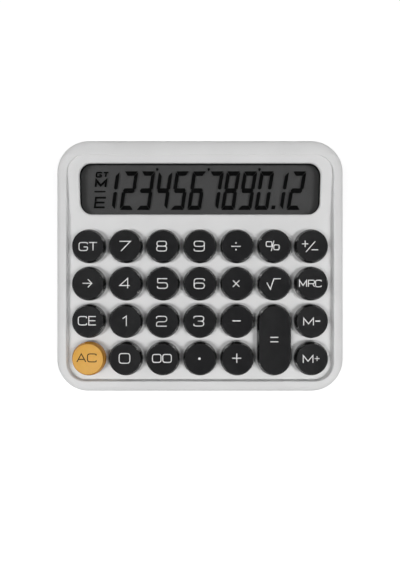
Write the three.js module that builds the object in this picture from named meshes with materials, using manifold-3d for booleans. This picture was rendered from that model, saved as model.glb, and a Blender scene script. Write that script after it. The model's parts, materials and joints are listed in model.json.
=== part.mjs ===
// Desktop calculator: a wedge-shaped case with a sunken key deck, a display window on the ramp behind it,
// 27 keys guided through the deck and sprung by one rubber dome sheet, and a battery bay under the back.
// Sizes are in millimetres. In the deck frame x runs to the right, y to the back along the deck and z
// square out of it; its origin is the middle of the key grid, on the deck's surface.
import * as THREE from 'three';
import { mergeVertices } from 'three/addons/utils/BufferGeometryUtils.js';
import Module from 'manifold-3d';

const wasm = await Module();
wasm.setup();

// Key grid
const keyGapX = 1.55;
const keyGapY = 1.75;
const keyMargin = 2.85;
const keyTravel = 2.4;

// Key caps
const capRadius = 8.75;
const capFaceRadius = 7.75;
const capRise = 6.5;
const capShoulder = 1.5;
const capBreakDrop = 0.5;
const capDish = 0.4;
const capWall = 1.4;
const capRoof = 1.5;
const sleeveWidth = 11;
const sleeveWall = 1.3;
const sleeveTail = 1.3;
const hookReach = 0.9;
const hookHeight = 1.2;
const hookWidth = 5;
const plungerWidth = 3.4;
const plungerLift = 0.4;

// Case
const wall = 2.2;
const cornerRadius = 17.1;
const rimWidth = 6.05;
const rimWidthBack = 7.95;
const rimDrop = 2.9;
const wallDraft = 0.35;
const trayDepth = 3.2;
const trayRadius = 9.3;
const partingDrop = 6;
const frontSpace = 1.5;
const deckTiltDegrees = 6;
const floorThickness = 2.4;
const seamInset = 0.4;
const seamGap = 0.3;
const footInset = 1.6;
const bottomRound = 2.5;
const tongueHeight = 2;
const tongueThickness = 1;
const flangeHeight = 2;

// Ramp and display
const rampGap = 1;
const rampBlend = 6;
const rampStep = 0.35;
const displayGap = 8.3;
const displayMargin = 4.2;
const windowWidth = 125.9;
const windowHeight = 26.4;
const windowRadius = 6.3;
const windowChamfer = 0.5;
const windowLip = 1;
const paneOverlap = 1.6;
const paneThickness = 1;
const holderWall = 0.9;
const holderLip = 0.7;
const glassOverlap = 0.95;
const glassPlate = 1.2;
const glassLedge = 2.4;
const reflectorThickness = 0.2;
const connectorWidth = 1.8;
const connectorLength = 110;
const foamWidth = 4;

// Dome sheet, circuit board and what is on it
const sheetThickness = 0.8;
const matMargin = 6;
const domeBaseRadius = 4.1;
const domeTopRadius = 2.6;
const domeWall = 0.7;
const domePillHeight = 1.5;
const boardThickness = 1.6;
const boardMargin = 6.6;
const boardRadius = 3;
const postRadius = 2.2;
const chipRadius = 7;
const chipHeight = 1.6;

// Screws, their bosses and towers
const bossRadius = 2.7;
const towerRadius = 3.9;
const seatWeb = 2.4;
const screwRecess = 2.2;
const caseHeadRadius = 2.3;
const caseHeadHeight = 1.8;
const caseShankRadius = 1.2;
const caseShankLength = 9;
const boardHeadRadius = 1.9;
const boardHeadHeight = 1.2;
const boardShankRadius = 0.8;
const boardShankLength = 6;

// Battery, its bay and door
const cellRadius = 5.25;
const cellBody = 43.3;
const cellNub = 1.2;
const cellNubRadius = 1.9;
const springSpace = 3.6;
const plateSpace = 1;
const bayGap = 0.6;
const bayWall = 1.3;
const bayBackGap = 6.2;
const bayRoof = 1;
const contactThickness = 0.4;
const contactWidth = 8;
const springWire = 0.35;
const springWideShare = 0.75;
const springNarrowShare = 0.375;
const springTurns = 3;
const doorLip = 1.2;
const doorTongue = 1.5;
const doorGripDepth = 0.5;
const doorGripLength = 14;
const doorGripPitch = 1.8;
const doorGripCount = 4;

// Feet
const footRadius = 4.8;
const footHeight = 2;
const footRecess = 0.8;
const footInsetX = 17;
const footInsetY = 13;

// Clearances, and the overrun of every cut
const slideGap = 0.3;
const seatGap = 0.3;
const stopGap = 0.4;
const overrun = 5;
const deepOverrun = 20;
const mergeTolerance = 0.0005;

// Numbers of flats and steps on round shapes
const cornerSteps = 6;
const rimSteps = 4;
const roundSteps = 3;
const blendSteps = 4;
const capFlats = 18;
const hollowFlats = 8;
const domeFlats = 6;
const screwFlats = 8;
const footFlats = 16;
const cellFlats = 18;
const wireFlats = 5;
const wireSteps = 24;

// Places worked out from the sizes above
const keyPitchX = capRadius * 2 + keyGapX;
const keyPitchY = capRadius * 2 + keyGapY;
const columns = [-3, -2, -1, 0, 1, 2, 3].map((step) => step * keyPitchX);
const rows = [1.5, 0.5, -0.5, -1.5].map((step) => step * keyPitchY);
const tilt = THREE.MathUtils.degToRad(deckTiltDegrees);
const slope = Math.tan(tilt);
const trayHalfX = Math.max(columns[6] + capRadius + keyMargin, windowWidth / 2 + displayMargin);
const trayFront = rows[3] - capRadius - keyMargin;
const windowFront = rows[0] + capRadius + displayGap;
const windowBack = windowFront + windowHeight;
const trayBack = windowBack + displayMargin;
const tray = { left: -trayHalfX, right: trayHalfX, front: trayFront, back: trayBack };
const caseBox = {
  left: -trayHalfX - rimWidth - wallDraft,
  right: trayHalfX + rimWidth + wallDraft,
  front: trayFront - rimWidth - wallDraft,
  back: trayBack + rimWidthBack + wallDraft,
};
const rampStart = rows[0] + capRadius + rampGap;
const rampSlope = (trayDepth - rampStep) / (trayBack - rampStart - rampBlend / 2);
const windowMiddle = (windowFront + windowBack) / 2;
const capLift = keyTravel + stopGap;
const capBreakRadius = capRadius - (capRadius - capFaceRadius) * capBreakDrop / capShoulder;
const sleeveBottom = -(wall + seatGap + hookHeight + sleeveTail);
const sheetTop = sleeveBottom - keyTravel - stopGap;
const boardTop = sheetTop - sheetThickness - seatGap;
const boardBottom = boardTop - boardThickness;
const tongueInset = wallDraft + wall + slideGap;
const bayHeight = floorThickness + seatGap + cellRadius * 2 + seatGap + bayRoof;
const bayReach = seamInset + wall + bayBackGap + (cellRadius + bayGap) * 2 + bayWall;
const bayDrop = slope * (caseBox.back - bayReach - caseBox.front);
const frontHeight = Math.max(frontSpace + floorThickness, bayHeight + seatGap - bayDrop) - boardBottom;
const bossX = caseBox.right - tongueInset - tongueThickness - seatGap - bossRadius;
const bosses = [rows[3], rows[1], windowMiddle].flatMap((y) => [[-bossX, y], [bossX, y]]);
const posts = [-1, 1].flatMap((side) => [-1, 1].map((end) => [
  side * (columns[6] + columns[5]) / 2,
  end * keyPitchY,
]));
const board = {
  left: -(bossX - towerRadius - stopGap),
  right: bossX - towerRadius - stopGap,
  front: rows[3] - boardMargin,
  back: windowBack + paneOverlap,
};

// Height of the underside below the deck, as seen square to the deck
function underside(y) {
  return -frontHeight - (y - caseBox.front) * slope;
}

// Height of the deck's surface: flat under the keys, then a ramp up to the back of the rim
function deckHeight(y) {
  const past = Math.max(0, y - rampStart);
  if (past < rampBlend) return rampSlope * past * past / (2 * rampBlend);
  return rampSlope * (past - rampBlend / 2);
}

// Lowest end of the boss that a case screw enters
function bossBottom(y) {
  return underside(y) + screwRecess + caseHeadHeight + seatGap + seatWeb + seatGap;
}

// Frames: the display lies on the ramp, the base is level with the table
const onDeck = new THREE.Matrix4();
const rampTilt = Math.atan(rampSlope);
const displayPlace = new THREE.Vector3(0, windowMiddle, deckHeight(windowMiddle));
const displayOnDeck = new THREE.Matrix4().makeRotationX(rampTilt).setPosition(displayPlace);
const deckOnDisplay = displayOnDeck.clone().invert();
const basePlace = new THREE.Vector3(0, 0, underside(0));
const baseOnDeck = new THREE.Matrix4().makeRotationX(-tilt).setPosition(basePlace);
const deckOnBase = baseOnDeck.clone().invert();

// Solids from closed geometries, and back
function solidOf(geometry) {
  const bare = geometry.clone();
  bare.deleteAttribute('normal');
  bare.deleteAttribute('uv');
  const merged = mergeVertices(bare, mergeTolerance);
  const corners = merged.index.array;
  const faces = [];
  for (let i = 0; i < corners.length; i += 3) {
    const [a, b, c] = [corners[i], corners[i + 1], corners[i + 2]];
    if (a !== b && b !== c && c !== a) faces.push(a, b, c);
  }
  return new wasm.Manifold(new wasm.Mesh({
    numProp: 3,
    vertProperties: new Float32Array(merged.attributes.position.array),
    triVerts: new Uint32Array(faces),
  }));
}

function geometryOf(solid) {
  const { vertProperties, triVerts } = solid.getMesh();
  const geometry = new THREE.BufferGeometry();
  geometry.setAttribute('position', new THREE.BufferAttribute(vertProperties, 3));
  geometry.setIndex(new THREE.BufferAttribute(triVerts, 1));
  const flat = geometry.toNonIndexed();
  flat.computeVertexNormals();
  return flat;
}

// Outlines
function inset(box, by) {
  return { left: box.left + by, right: box.right - by, front: box.front + by, back: box.back - by };
}

function outline(box, radius) {
  const corners = [
    [box.right - radius, box.back - radius],
    [box.left + radius, box.back - radius],
    [box.left + radius, box.front + radius],
    [box.right - radius, box.front + radius],
  ];
  return corners.flatMap(([x, y], quarter) => Array.from({ length: cornerSteps + 1 }, (_, step) => {
    const angle = (quarter + step / cornerSteps) * Math.PI / 2;
    return new THREE.Vector2(x + radius * Math.cos(angle), y + radius * Math.sin(angle));
  }));
}

function centred(width, height) {
  return { left: -width / 2, right: width / 2, front: -height / 2, back: height / 2 };
}

function rectangle(box) {
  return [
    new THREE.Vector2(box.right, box.back),
    new THREE.Vector2(box.left, box.back),
    new THREE.Vector2(box.left, box.front),
    new THREE.Vector2(box.right, box.front),
  ];
}

function ring(flats, radius, spread = 0) {
  return Array.from({ length: flats }, (_, step) => {
    const angle = (step + 1 / 2) * 2 * Math.PI / flats;
    const y = radius * Math.sin(angle);
    return new THREE.Vector2(radius * Math.cos(angle), y + Math.sign(y) * spread);
  });
}

// Primitive solids, each written in the frame that it is given
function prism(points, low, high, frame = onDeck) {
  const geometry = new THREE.ExtrudeGeometry(new THREE.Shape(points), {
    depth: high - low,
    bevelEnabled: false,
  });
  geometry.translate(0, 0, low);
  return solidOf(geometry.applyMatrix4(frame));
}

function block(box, low, high, frame = onDeck) {
  return prism(rectangle(box), low, high, frame);
}

function rod(x, y, radius, low, high, flats, frame = onDeck) {
  const points = ring(flats, radius).map((point) => point.add(new THREE.Vector2(x, y)));
  return prism(points, low, high, frame);
}

// A bar across the case, its section drawn on y and z
function crossBar(section, left, right, frame = onDeck) {
  const geometry = new THREE.ExtrudeGeometry(new THREE.Shape(section), {
    depth: right - left,
    bevelEnabled: false,
  });
  geometry.translate(0, 0, left);
  const axes = [new THREE.Vector3(0, 1, 0), new THREE.Vector3(0, 0, 1), new THREE.Vector3(1, 0, 0)];
  geometry.applyMatrix4(new THREE.Matrix4().makeBasis(...axes));
  return solidOf(geometry.applyMatrix4(frame));
}

// A skin through level loops of equally many points, closed at both ends; the last end can be dished
function loft(loops, dish = 0) {
  const count = loops[0].length;
  const middle = (loop) => loop.reduce((sum, point) => sum.add(point), new THREE.Vector3())
    .divideScalar(count);
  const top = middle(loops[loops.length - 1]);
  top.z -= dish;
  const points = [...loops.flat(), middle(loops[0]), top];
  const bottomMiddle = count * loops.length;
  const faces = [];
  for (let side = 0; side < count; side += 1) {
    const next = (side + 1) % count;
    faces.push(bottomMiddle, next, side);
    for (let level = 0; level + 1 < loops.length; level += 1) {
      const below = level * count;
      const above = below + count;
      faces.push(below + side, below + next, above + next);
      faces.push(below + side, above + next, above + side);
    }
    const last = count * (loops.length - 1);
    faces.push(last + side, last + next, bottomMiddle + 1);
  }
  const geometry = new THREE.BufferGeometry().setFromPoints(points);
  geometry.setIndex(faces);
  return geometry;
}

function lift(points, z, frame = onDeck) {
  return points.map((point) => new THREE.Vector3(point.x, point.y, z).applyMatrix4(frame));
}

// A turned piece from its profile of [radius, height] pairs, bottom first, on its own z axis
function turned(profile, flats) {
  const geometry = new THREE.LatheGeometry(
    profile.map(([radius, height]) => new THREE.Vector2(radius, height)),
    flats,
  );
  return solidOf(geometry.rotateX(Math.PI / 2));
}

// Finishes
const finishes = {
  shell: { color: 0xd6d7d8, roughness: 0.45, metalness: 0 },
  key: { color: 0x1c1c1e, roughness: 0.4, metalness: 0 },
  amber: { color: 0xd59f45, roughness: 0.4, metalness: 0 },
  pane: { color: 0x9aa0a0, roughness: 0.05, metalness: 0 },
  glass: { color: 0x444444, roughness: 0.15, metalness: 0 },
  holder: { color: 0x101010, roughness: 0.6, metalness: 0 },
  foil: { color: 0x8c9092, roughness: 0.3, metalness: 0.6 },
  rubber: { color: 0x3a3a3c, roughness: 0.9, metalness: 0 },
  silicone: { color: 0xb9bbb4, roughness: 0.8, metalness: 0 },
  foam: { color: 0x2c2c2e, roughness: 1, metalness: 0 },
  laminate: { color: 0x2f6b3c, roughness: 0.5, metalness: 0 },
  resin: { color: 0x0c0c0c, roughness: 0.35, metalness: 0 },
  steel: { color: 0xb4b6b8, roughness: 0.35, metalness: 1 },
  cell: { color: 0x2e3d6b, roughness: 0.35, metalness: 0.3 },
};

function piece(name, geometry, finish, place = [0, 0, 0]) {
  const mesh = new THREE.Mesh(geometry, new THREE.MeshStandardMaterial(finishes[finish]));
  mesh.name = name;
  mesh.position.set(...place);
  return mesh;
}

// Key: a dished cap over a square sleeve with two hooks; the long key has a sleeve at each end
function keyCap(spread) {
  const levels = [
    [capRadius, capLift],
    [capRadius, capRise - capShoulder],
    [capBreakRadius, capRise - capBreakDrop],
    [capFaceRadius, capRise],
  ];
  const skin = loft(levels.map(([radius, z]) => lift(ring(capFlats, radius, spread), z)), capDish);
  const inside = ring(hollowFlats, capRadius - capWall, spread);
  const hollow = prism(inside, capLift - overrun, capRise - capRoof);
  return solidOf(skin).subtract(hollow);
}

function keySleeve(y) {
  const roof = capRise - capRoof + capDish;
  const outer = centred(sleeveWidth, sleeveWidth);
  const hookBox = centred(sleeveWidth + hookReach * 2, hookWidth);
  const plungerBox = centred(plungerWidth, plungerWidth);
  const hookTop = -wall - seatGap;
  const frame = new THREE.Matrix4().makeTranslation(0, y, 0);
  return block(outer, sleeveBottom, roof, frame)
    .add(block(hookBox, hookTop - hookHeight, hookTop, frame))
    .subtract(block(inset(outer, sleeveWall), sleeveBottom - overrun, capRise - capRoof, frame))
    .add(block(plungerBox, sleeveBottom + plungerLift, roof, frame));
}

function makeKey(spread) {
  const ends = spread > 0 ? [-spread, spread] : [0];
  return geometryOf(ends.reduce((key, y) => key.add(keySleeve(y)), keyCap(spread)));
}

const keyNames = [
  ['grand_total', '7', '8', '9', 'divide', 'percent', 'sign'],
  ['backspace', '4', '5', '6', 'multiply', 'square_root', 'memory_recall'],
  ['clear_entry', '1', '2', '3', 'minus', 'equals', 'memory_minus'],
  ['all_clear', '0', '00', 'point', 'plus', null, 'memory_plus'],
];

function makeKeys() {
  const keys = new THREE.Group();
  const round = makeKey(0);
  const long = makeKey(keyPitchY / 2);
  keyNames.forEach((names, row) => names.forEach((name, column) => {
    if (name === null) return;
    const finish = name === 'all_clear' ? 'amber' : 'key';
    const tall = name === 'equals';
    const y = tall ? (rows[row] + rows[row + 1]) / 2 : rows[row];
    keys.add(piece(`key_${name}`, tall ? long : round, finish, [columns[column], y, 0]));
  }));
  return keys;
}

// Section through the space above a surface that lies a given depth under the deck
function spaceAbove(depth, front, back, top) {
  const blend = Array.from({ length: blendSteps + 1 }, (_, step) => {
    const y = rampStart + rampBlend * step / blendSteps;
    return new THREE.Vector2(y, deckHeight(y) - depth);
  });
  return [
    new THREE.Vector2(front, -depth),
    ...blend,
    new THREE.Vector2(trayBack, deckHeight(trayBack) - depth),
    new THREE.Vector2(back, deckHeight(trayBack) - depth),
    new THREE.Vector2(back, top),
    new THREE.Vector2(front, top),
  ];
}

// Top cover
function coverSkin() {
  const loops = [lift(outline(caseBox, cornerRadius), -partingDrop)];
  const round = rimWidth - wallDraft;
  for (let step = 0; step <= rimSteps; step += 1) {
    const angle = step / rimSteps * Math.PI / 2;
    const by = wallDraft + round * (1 - Math.cos(angle));
    const z = trayDepth - rimDrop * (1 - Math.sin(angle));
    loops.push(lift(outline(inset(caseBox, by), cornerRadius - by), z));
  }
  return solidOf(loft(loops));
}

function trayCut() {
  const plan = prism(outline(tray, trayRadius), -overrun, trayDepth + overrun);
  const section = spaceAbove(0, trayFront - overrun, trayBack + overrun, trayDepth + overrun);
  return plan.intersect(crossBar(section, tray.left - overrun, tray.right + overrun));
}

function coverCavity() {
  const by = wallDraft + wall;
  const plan = prism(outline(inset(caseBox, by), cornerRadius - by), -partingDrop - overrun, trayDepth);
  const section = spaceAbove(wall, caseBox.front, caseBox.back, trayDepth + overrun);
  return plan.subtract(crossBar(section, caseBox.left, caseBox.right));
}

function windowCuts() {
  const shape = centred(windowWidth, windowHeight);
  const wide = inset(shape, -windowChamfer);
  const wideRadius = windowRadius + windowChamfer;
  const chamfer = loft([
    lift(outline(shape, windowRadius), -windowChamfer),
    lift(outline(wide, wideRadius), 0),
    lift(outline(wide, wideRadius), overrun),
  ]);
  const paneBox = inset(shape, -paneOverlap - slideGap);
  const paneRadius = windowRadius + paneOverlap + slideGap;
  return [
    solidOf(chamfer.applyMatrix4(displayOnDeck)),
    prism(outline(shape, windowRadius), -overrun, overrun, displayOnDeck),
    prism(outline(paneBox, paneRadius), -overrun, -windowLip, displayOnDeck),
  ];
}

function makeTopCover() {
  let cover = coverSkin().subtract(trayCut()).subtract(coverCavity());
  for (const cut of windowCuts()) cover = cover.subtract(cut);
  const hole = centred(sleeveWidth + slideGap * 2, sleeveWidth + slideGap * 2);
  for (const x of columns) {
    for (const y of rows) {
      const place = new THREE.Matrix4().makeTranslation(x, y, 0);
      cover = cover.subtract(block(hole, -wall - overrun, overrun, place));
    }
  }
  for (const [x, y] of bosses) {
    const bore = caseShankRadius + slideGap;
    const low = bossBottom(y);
    cover = cover.add(rod(x, y, bossRadius, low, deckHeight(y) - wall / 2, screwFlats))
      .subtract(rod(x, y, bore, low - overrun, low + caseShankLength, screwFlats));
  }
  for (const [x, y] of posts) {
    const bore = boardShankRadius + slideGap;
    const low = boardTop + seatGap;
    cover = cover.add(rod(x, y, postRadius, low, -wall / 2, screwFlats))
      .subtract(rod(x, y, bore, low - overrun, low + boardShankLength - boardThickness, screwFlats));
  }
  return piece('top_cover', geometryOf(cover), 'shell');
}

// Bottom cover, in the base frame: its origin is on the underside, below the middle of the key grid
const partingLow = -partingDrop - seamGap;
const baseFront = new THREE.Vector3(0, caseBox.front, partingLow).applyMatrix4(deckOnBase).y;
const baseBack = new THREE.Vector3(0, caseBox.back, partingLow).applyMatrix4(deckOnBase).y;
const baseBox = { left: caseBox.left, right: caseBox.right, front: baseFront, back: baseBack };
const cellLength = cellBody + cellNub;
const bayHalfX = (cellLength + springSpace + plateSpace) / 2;
const bayHalfY = cellRadius + bayGap;
const bayY = baseBack - seamInset - wall - bayBackGap - bayHalfY;
const bayBox = { left: -bayHalfX, right: bayHalfX, front: bayY - bayHalfY, back: bayY + bayHalfY };
const cellZ = floorThickness + seatGap + cellRadius;
const bayTop = cellZ + cellRadius + seatGap;
const doorBox = inset(bayBox, -bayWall);
const feet = [-1, 1].flatMap((side) => [
  [side * (caseBox.right - footInsetX), baseFront + footInsetY],
  [side * (caseBox.right - footInsetX), baseBack - footInsetY],
]);

function baseSkin() {
  const loops = [];
  for (let step = 0; step <= roundSteps; step += 1) {
    const angle = step / roundSteps * Math.PI / 2;
    const by = footInset + bottomRound * (1 - Math.sin(angle));
    const z = bottomRound * (1 - Math.cos(angle));
    loops.push(lift(outline(inset(baseBox, by), cornerRadius - by), z));
  }
  const parting = outline(inset(caseBox, seamInset), cornerRadius - seamInset);
  loops.push(lift(parting, partingLow, deckOnBase));
  return solidOf(loft(loops));
}

function baseCavity() {
  const footBy = footInset + wall;
  const top = partingLow - flangeHeight;
  const topBy = seamInset + wall;
  const skin = loft([
    lift(outline(inset(baseBox, footBy), cornerRadius - footBy), floorThickness),
    lift(outline(inset(caseBox, topBy), cornerRadius - topBy), top, deckOnBase),
  ]);
  const mouthBy = tongueInset + tongueThickness;
  const mouth = prism(
    outline(inset(caseBox, mouthBy), cornerRadius - mouthBy),
    top - seatGap,
    partingLow + overrun,
    deckOnBase,
  );
  return solidOf(skin).add(mouth);
}

function baseTongue() {
  return prism(
    outline(inset(caseBox, tongueInset), cornerRadius - tongueInset),
    partingLow - flangeHeight,
    -partingDrop + tongueHeight,
    deckOnBase,
  );
}

// The two steps of the battery door: flush with the underside below, tongues on three sides above
function doorSteps(gap) {
  const past = baseBack + overrun;
  const lower = { ...inset(doorBox, -gap), back: past };
  const upper = { ...inset(doorBox, -gap - doorTongue), back: past };
  const top = floorThickness + gap;
  return block(lower, -overrun, top).add(block(upper, doorLip + seatGap - gap, top));
}

function bayWalls() {
  const outer = inset(doorBox, -doorTongue - bayWall);
  const roofTop = bayTop + bayRoof;
  const tabBox = centred(bayHalfX * 2, contactWidth);
  const tabs = block(tabBox, bayTop - overrun, roofTop + overrun, new THREE.Matrix4()
    .makeTranslation(0, bayY, 0))
    .subtract(block(inset(bayBox, springSpace / 2), bayTop - overrun, roofTop + overrun));
  return block({ ...inset(bayBox, -bayWall), left: outer.left, right: outer.right },
    floorThickness / 2, roofTop)
    .subtract(tabs)
    .subtract(block(bayBox, -overrun, bayTop));
}

function makeBottomCover() {
  const skin = baseSkin();
  let cover = skin.add(baseTongue()).subtract(baseCavity()).add(bayWalls());
  for (const [x, y] of bosses) {
    const low = underside(y);
    const seat = low + screwRecess + caseHeadHeight + seatGap;
    const tower = rod(x, y, towerRadius, low - overrun, seat + seatWeb, screwFlats, deckOnBase);
    const counterbore = caseHeadRadius + stopGap;
    const hole = caseShankRadius + slideGap;
    cover = cover.add(tower.intersect(skin))
      .subtract(rod(x, y, counterbore, low - overrun, seat, screwFlats, deckOnBase))
      .subtract(rod(x, y, hole, low - overrun, seat + seatWeb + overrun, screwFlats, deckOnBase));
  }
  for (const [x, y] of feet) {
    cover = cover.subtract(rod(x, y, footRadius + slideGap, -overrun, footRecess, footFlats));
  }
  cover = cover.subtract(doorSteps(slideGap));
  return piece('bottom_cover', geometryOf(cover), 'shell');
}

function makeBatteryDoor() {
  let door = doorSteps(0).intersect(baseSkin());
  for (let step = 0; step < doorGripCount; step += 1) {
    const y = bayY + (step - (doorGripCount - 1) / 2) * doorGripPitch;
    const groove = centred(doorGripLength, doorGripPitch / 2);
    door = door.subtract(block(groove, -overrun, doorGripDepth, new THREE.Matrix4()
      .makeTranslation(0, y, 0)));
  }
  return piece('battery_door', geometryOf(door), 'shell');
}

// Battery cell, lying along x with its positive nub to the right
function makeCell() {
  const profile = [
    [0, -cellLength / 2],
    [cellRadius, -cellLength / 2],
    [cellRadius, cellLength / 2 - cellNub],
    [cellNubRadius, cellLength / 2 - cellNub],
    [cellNubRadius, cellLength / 2],
    [0, cellLength / 2],
  ];
  const mesh = piece('battery_cell', geometryOf(turned(profile, cellFlats)), 'cell',
    [(springSpace - plateSpace) / 2, bayY, cellZ]);
  mesh.rotation.y = Math.PI / 2;
  return mesh;
}

// Contacts: a leaf on the bay's end wall with a tab up to the board
function contactLeaf(x) {
  const leaf = { left: x, right: x + contactThickness, front: bayY - contactWidth / 2,
    back: bayY + contactWidth / 2 };
  const narrow = { ...leaf, front: bayY - contactWidth / 4, back: bayY + contactWidth / 4 };
  const boardLow = boardBottom - seatGap;
  const board = block(inset(caseBox, -overrun), boardLow, boardLow + deepOverrun, deckOnBase);
  const low = floorThickness + seatGap + slideGap;
  return block(leaf, low, bayTop - seatGap).add(block(narrow, low, bayTop + deepOverrun).subtract(board));
}

class SpringPath extends THREE.Curve {
  getPoint(share, target = new THREE.Vector3()) {
    const angle = share * springTurns * 2 * Math.PI;
    const radius = cellRadius * THREE.MathUtils.lerp(springWideShare, springNarrowShare, share);
    const length = springSpace - slideGap * 2 - contactThickness - springWire * 2;
    return target.set(share * length, radius * Math.cos(angle), radius * Math.sin(angle));
  }
}

function makeSpringContact() {
  const leafX = -bayHalfX + slideGap;
  const section = new THREE.Shape(ring(wireFlats, springWire));
  const coil = new THREE.ExtrudeGeometry(section, {
    extrudePath: new SpringPath(),
    steps: wireSteps,
    bevelEnabled: false,
  });
  coil.translate(leafX + contactThickness + springWire / 2, bayY, cellZ);
  const contact = contactLeaf(leafX).add(solidOf(coil));
  return piece('spring_contact', geometryOf(contact), 'steel');
}

function makePlateContact() {
  const leafX = bayHalfX - slideGap - contactThickness;
  return piece('plate_contact', geometryOf(contactLeaf(leafX)), 'steel');
}

function makeFoot() {
  const chamfer = footRadius / 8;
  const profile = [
    [0, 0],
    [footRadius - chamfer, 0],
    [footRadius, chamfer],
    [footRadius, footHeight],
    [0, footHeight],
  ];
  return geometryOf(turned(profile, footFlats));
}

function makeBase() {
  const base = new THREE.Group();
  base.applyMatrix4(baseOnDeck);
  base.add(makeBottomCover(), makeBatteryDoor(), makeCell(), makeSpringContact(), makePlateContact());
  const foot = makeFoot();
  const footZ = footRecess - seatGap - footHeight;
  feet.forEach(([x, y], index) => base.add(piece(`foot_${index + 1}`, foot, 'rubber', [x, y, footZ])));
  return base;
}

// Display stack, in the display frame
const paneTop = -windowLip - seatGap;
const holderTop = paneTop - paneThickness - seatGap;
const glassTop = holderTop - holderLip - seatGap;
const glassBox = inset(centred(windowWidth, windowHeight), -glassOverlap);
const reflectorTop = glassTop - glassPlate * 2 - seatGap;
const boardSeat = boardTop + seatGap;
const stackDepth = deepOverrun - overrun;
const belowBoard = block(inset(caseBox, -overrun), boardSeat - deepOverrun, boardSeat, deckOnDisplay);

function makePane() {
  const box = inset(centred(windowWidth, windowHeight), -paneOverlap);
  const solid = prism(outline(box, windowRadius + paneOverlap), paneTop - paneThickness, paneTop);
  return piece('display_window', geometryOf(solid), 'pane');
}

function makeHolder() {
  const pocket = inset(glassBox, -slideGap);
  const opening = centred(windowWidth, windowHeight);
  const low = holderTop - stackDepth;
  const holder = block(inset(pocket, -holderWall), low, holderTop)
    .subtract(prism(outline(opening, windowRadius), low - overrun, holderTop + overrun))
    .subtract(block(pocket, low - overrun, holderTop - holderLip))
    .subtract(belowBoard);
  return piece('display_holder', geometryOf(holder), 'holder');
}

function makeGlass() {
  const back = { ...glassBox, front: glassBox.front + glassLedge };
  const solid = block(glassBox, glassTop - glassPlate, glassTop)
    .add(block(back, glassTop - glassPlate * 2, glassTop - glassPlate));
  return piece('display_glass', geometryOf(solid), 'glass');
}

function makeReflector() {
  const box = inset({ ...glassBox, front: glassBox.front + glassLedge }, slideGap);
  const solid = block(box, reflectorTop - reflectorThickness, reflectorTop);
  return piece('display_reflector', geometryOf(solid), 'foil');
}

function makeConnector() {
  const front = glassBox.front + (glassLedge - connectorWidth) / 2;
  const half = connectorLength / 2;
  const box = { left: -half, right: half, front, back: front + connectorWidth };
  const top = glassTop - glassPlate - seatGap;
  const solid = block(box, top - stackDepth, top).subtract(belowBoard);
  return piece('elastomer_connector', geometryOf(solid), 'rubber');
}

function makeFoamStrip() {
  const back = glassBox.back - holderWall;
  const half = connectorLength / 2;
  const box = { left: -half, right: half, front: back - foamWidth, back };
  const top = reflectorTop - reflectorThickness - seatGap;
  const solid = block(box, top - stackDepth, top).subtract(belowBoard);
  return piece('foam_strip', geometryOf(solid), 'foam');
}

function makeDisplay() {
  const display = new THREE.Group();
  display.applyMatrix4(displayOnDeck);
  display.add(makePane(), makeHolder(), makeGlass(), makeReflector(), makeConnector(), makeFoamStrip());
  return display;
}

// Dome sheet: a rubber mat with a hollow dome under each plunger
const plungerBottom = sleeveBottom + plungerLift;
const domeTop = plungerBottom - seatGap;

function domeSkin(x, y, thinner, top) {
  const place = new THREE.Matrix4().makeTranslation(x, y, 0);
  const loops = [
    [domeBaseRadius - thinner, sheetTop - sheetThickness - (thinner > 0 ? overrun : 0)],
    [domeBaseRadius - thinner, sheetTop],
    [domeTopRadius - thinner, top],
  ];
  const skin = loft(loops.map(([radius, z]) => lift(ring(domeFlats, radius), z)));
  return solidOf(skin.applyMatrix4(place));
}

function makeDomeSheet() {
  const box = {
    left: columns[0] - matMargin,
    right: columns[6] + matMargin,
    front: rows[3] - matMargin,
    back: rows[0] + matMargin,
  };
  let sheet = block(box, sheetTop - sheetThickness, sheetTop);
  for (const x of columns) {
    for (const y of rows) {
      sheet = sheet.add(domeSkin(x, y, 0, domeTop))
        .subtract(domeSkin(x, y, domeWall, domeTop - domePillHeight));
    }
  }
  for (const [x, y] of posts) {
    const hole = postRadius + slideGap;
    sheet = sheet.subtract(rod(x, y, hole, sheetTop - overrun, sheetTop + overrun, screwFlats));
  }
  return piece('dome_sheet', geometryOf(sheet), 'silicone');
}

function makeBoard() {
  let solid = prism(outline(board, boardRadius), boardBottom, boardTop);
  for (const [x, y] of posts) {
    const hole = boardShankRadius + slideGap;
    solid = solid.subtract(rod(x, y, hole, boardBottom - overrun, boardTop + overrun, screwFlats));
  }
  return piece('circuit_board', geometryOf(solid), 'laminate');
}

// Chip sealed under a drop of black resin on the underside of the board
function makeChip() {
  const profile = [
    [0, -chipHeight],
    [chipRadius / 2, -chipHeight],
    [chipRadius, 0],
    [0, 0],
  ];
  const place = [columns[2], rows[1], boardBottom - seatGap];
  return piece('controller_chip', geometryOf(turned(profile, footFlats)), 'resin', place);
}

// Screw with its head at the bottom; its origin is under the head
function makeScrew(headRadius, headHeight, shankRadius, length) {
  const profile = [
    [0, -headHeight],
    [headRadius * 2 / 3, -headHeight],
    [headRadius, -headHeight / 2],
    [headRadius, 0],
    [shankRadius, 0],
    [shankRadius, length - shankRadius],
    [0, length],
  ];
  return geometryOf(turned(profile, screwFlats));
}

function makeScrews() {
  const screws = new THREE.Group();
  const forCase = makeScrew(caseHeadRadius, caseHeadHeight, caseShankRadius, caseShankLength);
  bosses.forEach(([x, y], index) => {
    const z = underside(y) + screwRecess + caseHeadHeight;
    screws.add(piece(`case_screw_${index + 1}`, forCase, 'steel', [x, y, z]));
  });
  const forBoard = makeScrew(boardHeadRadius, boardHeadHeight, boardShankRadius, boardShankLength);
  posts.forEach(([x, y], index) => {
    screws.add(piece(`board_screw_${index + 1}`, forBoard, 'steel', [x, y, boardBottom - seatGap]));
  });
  return screws;
}

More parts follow.
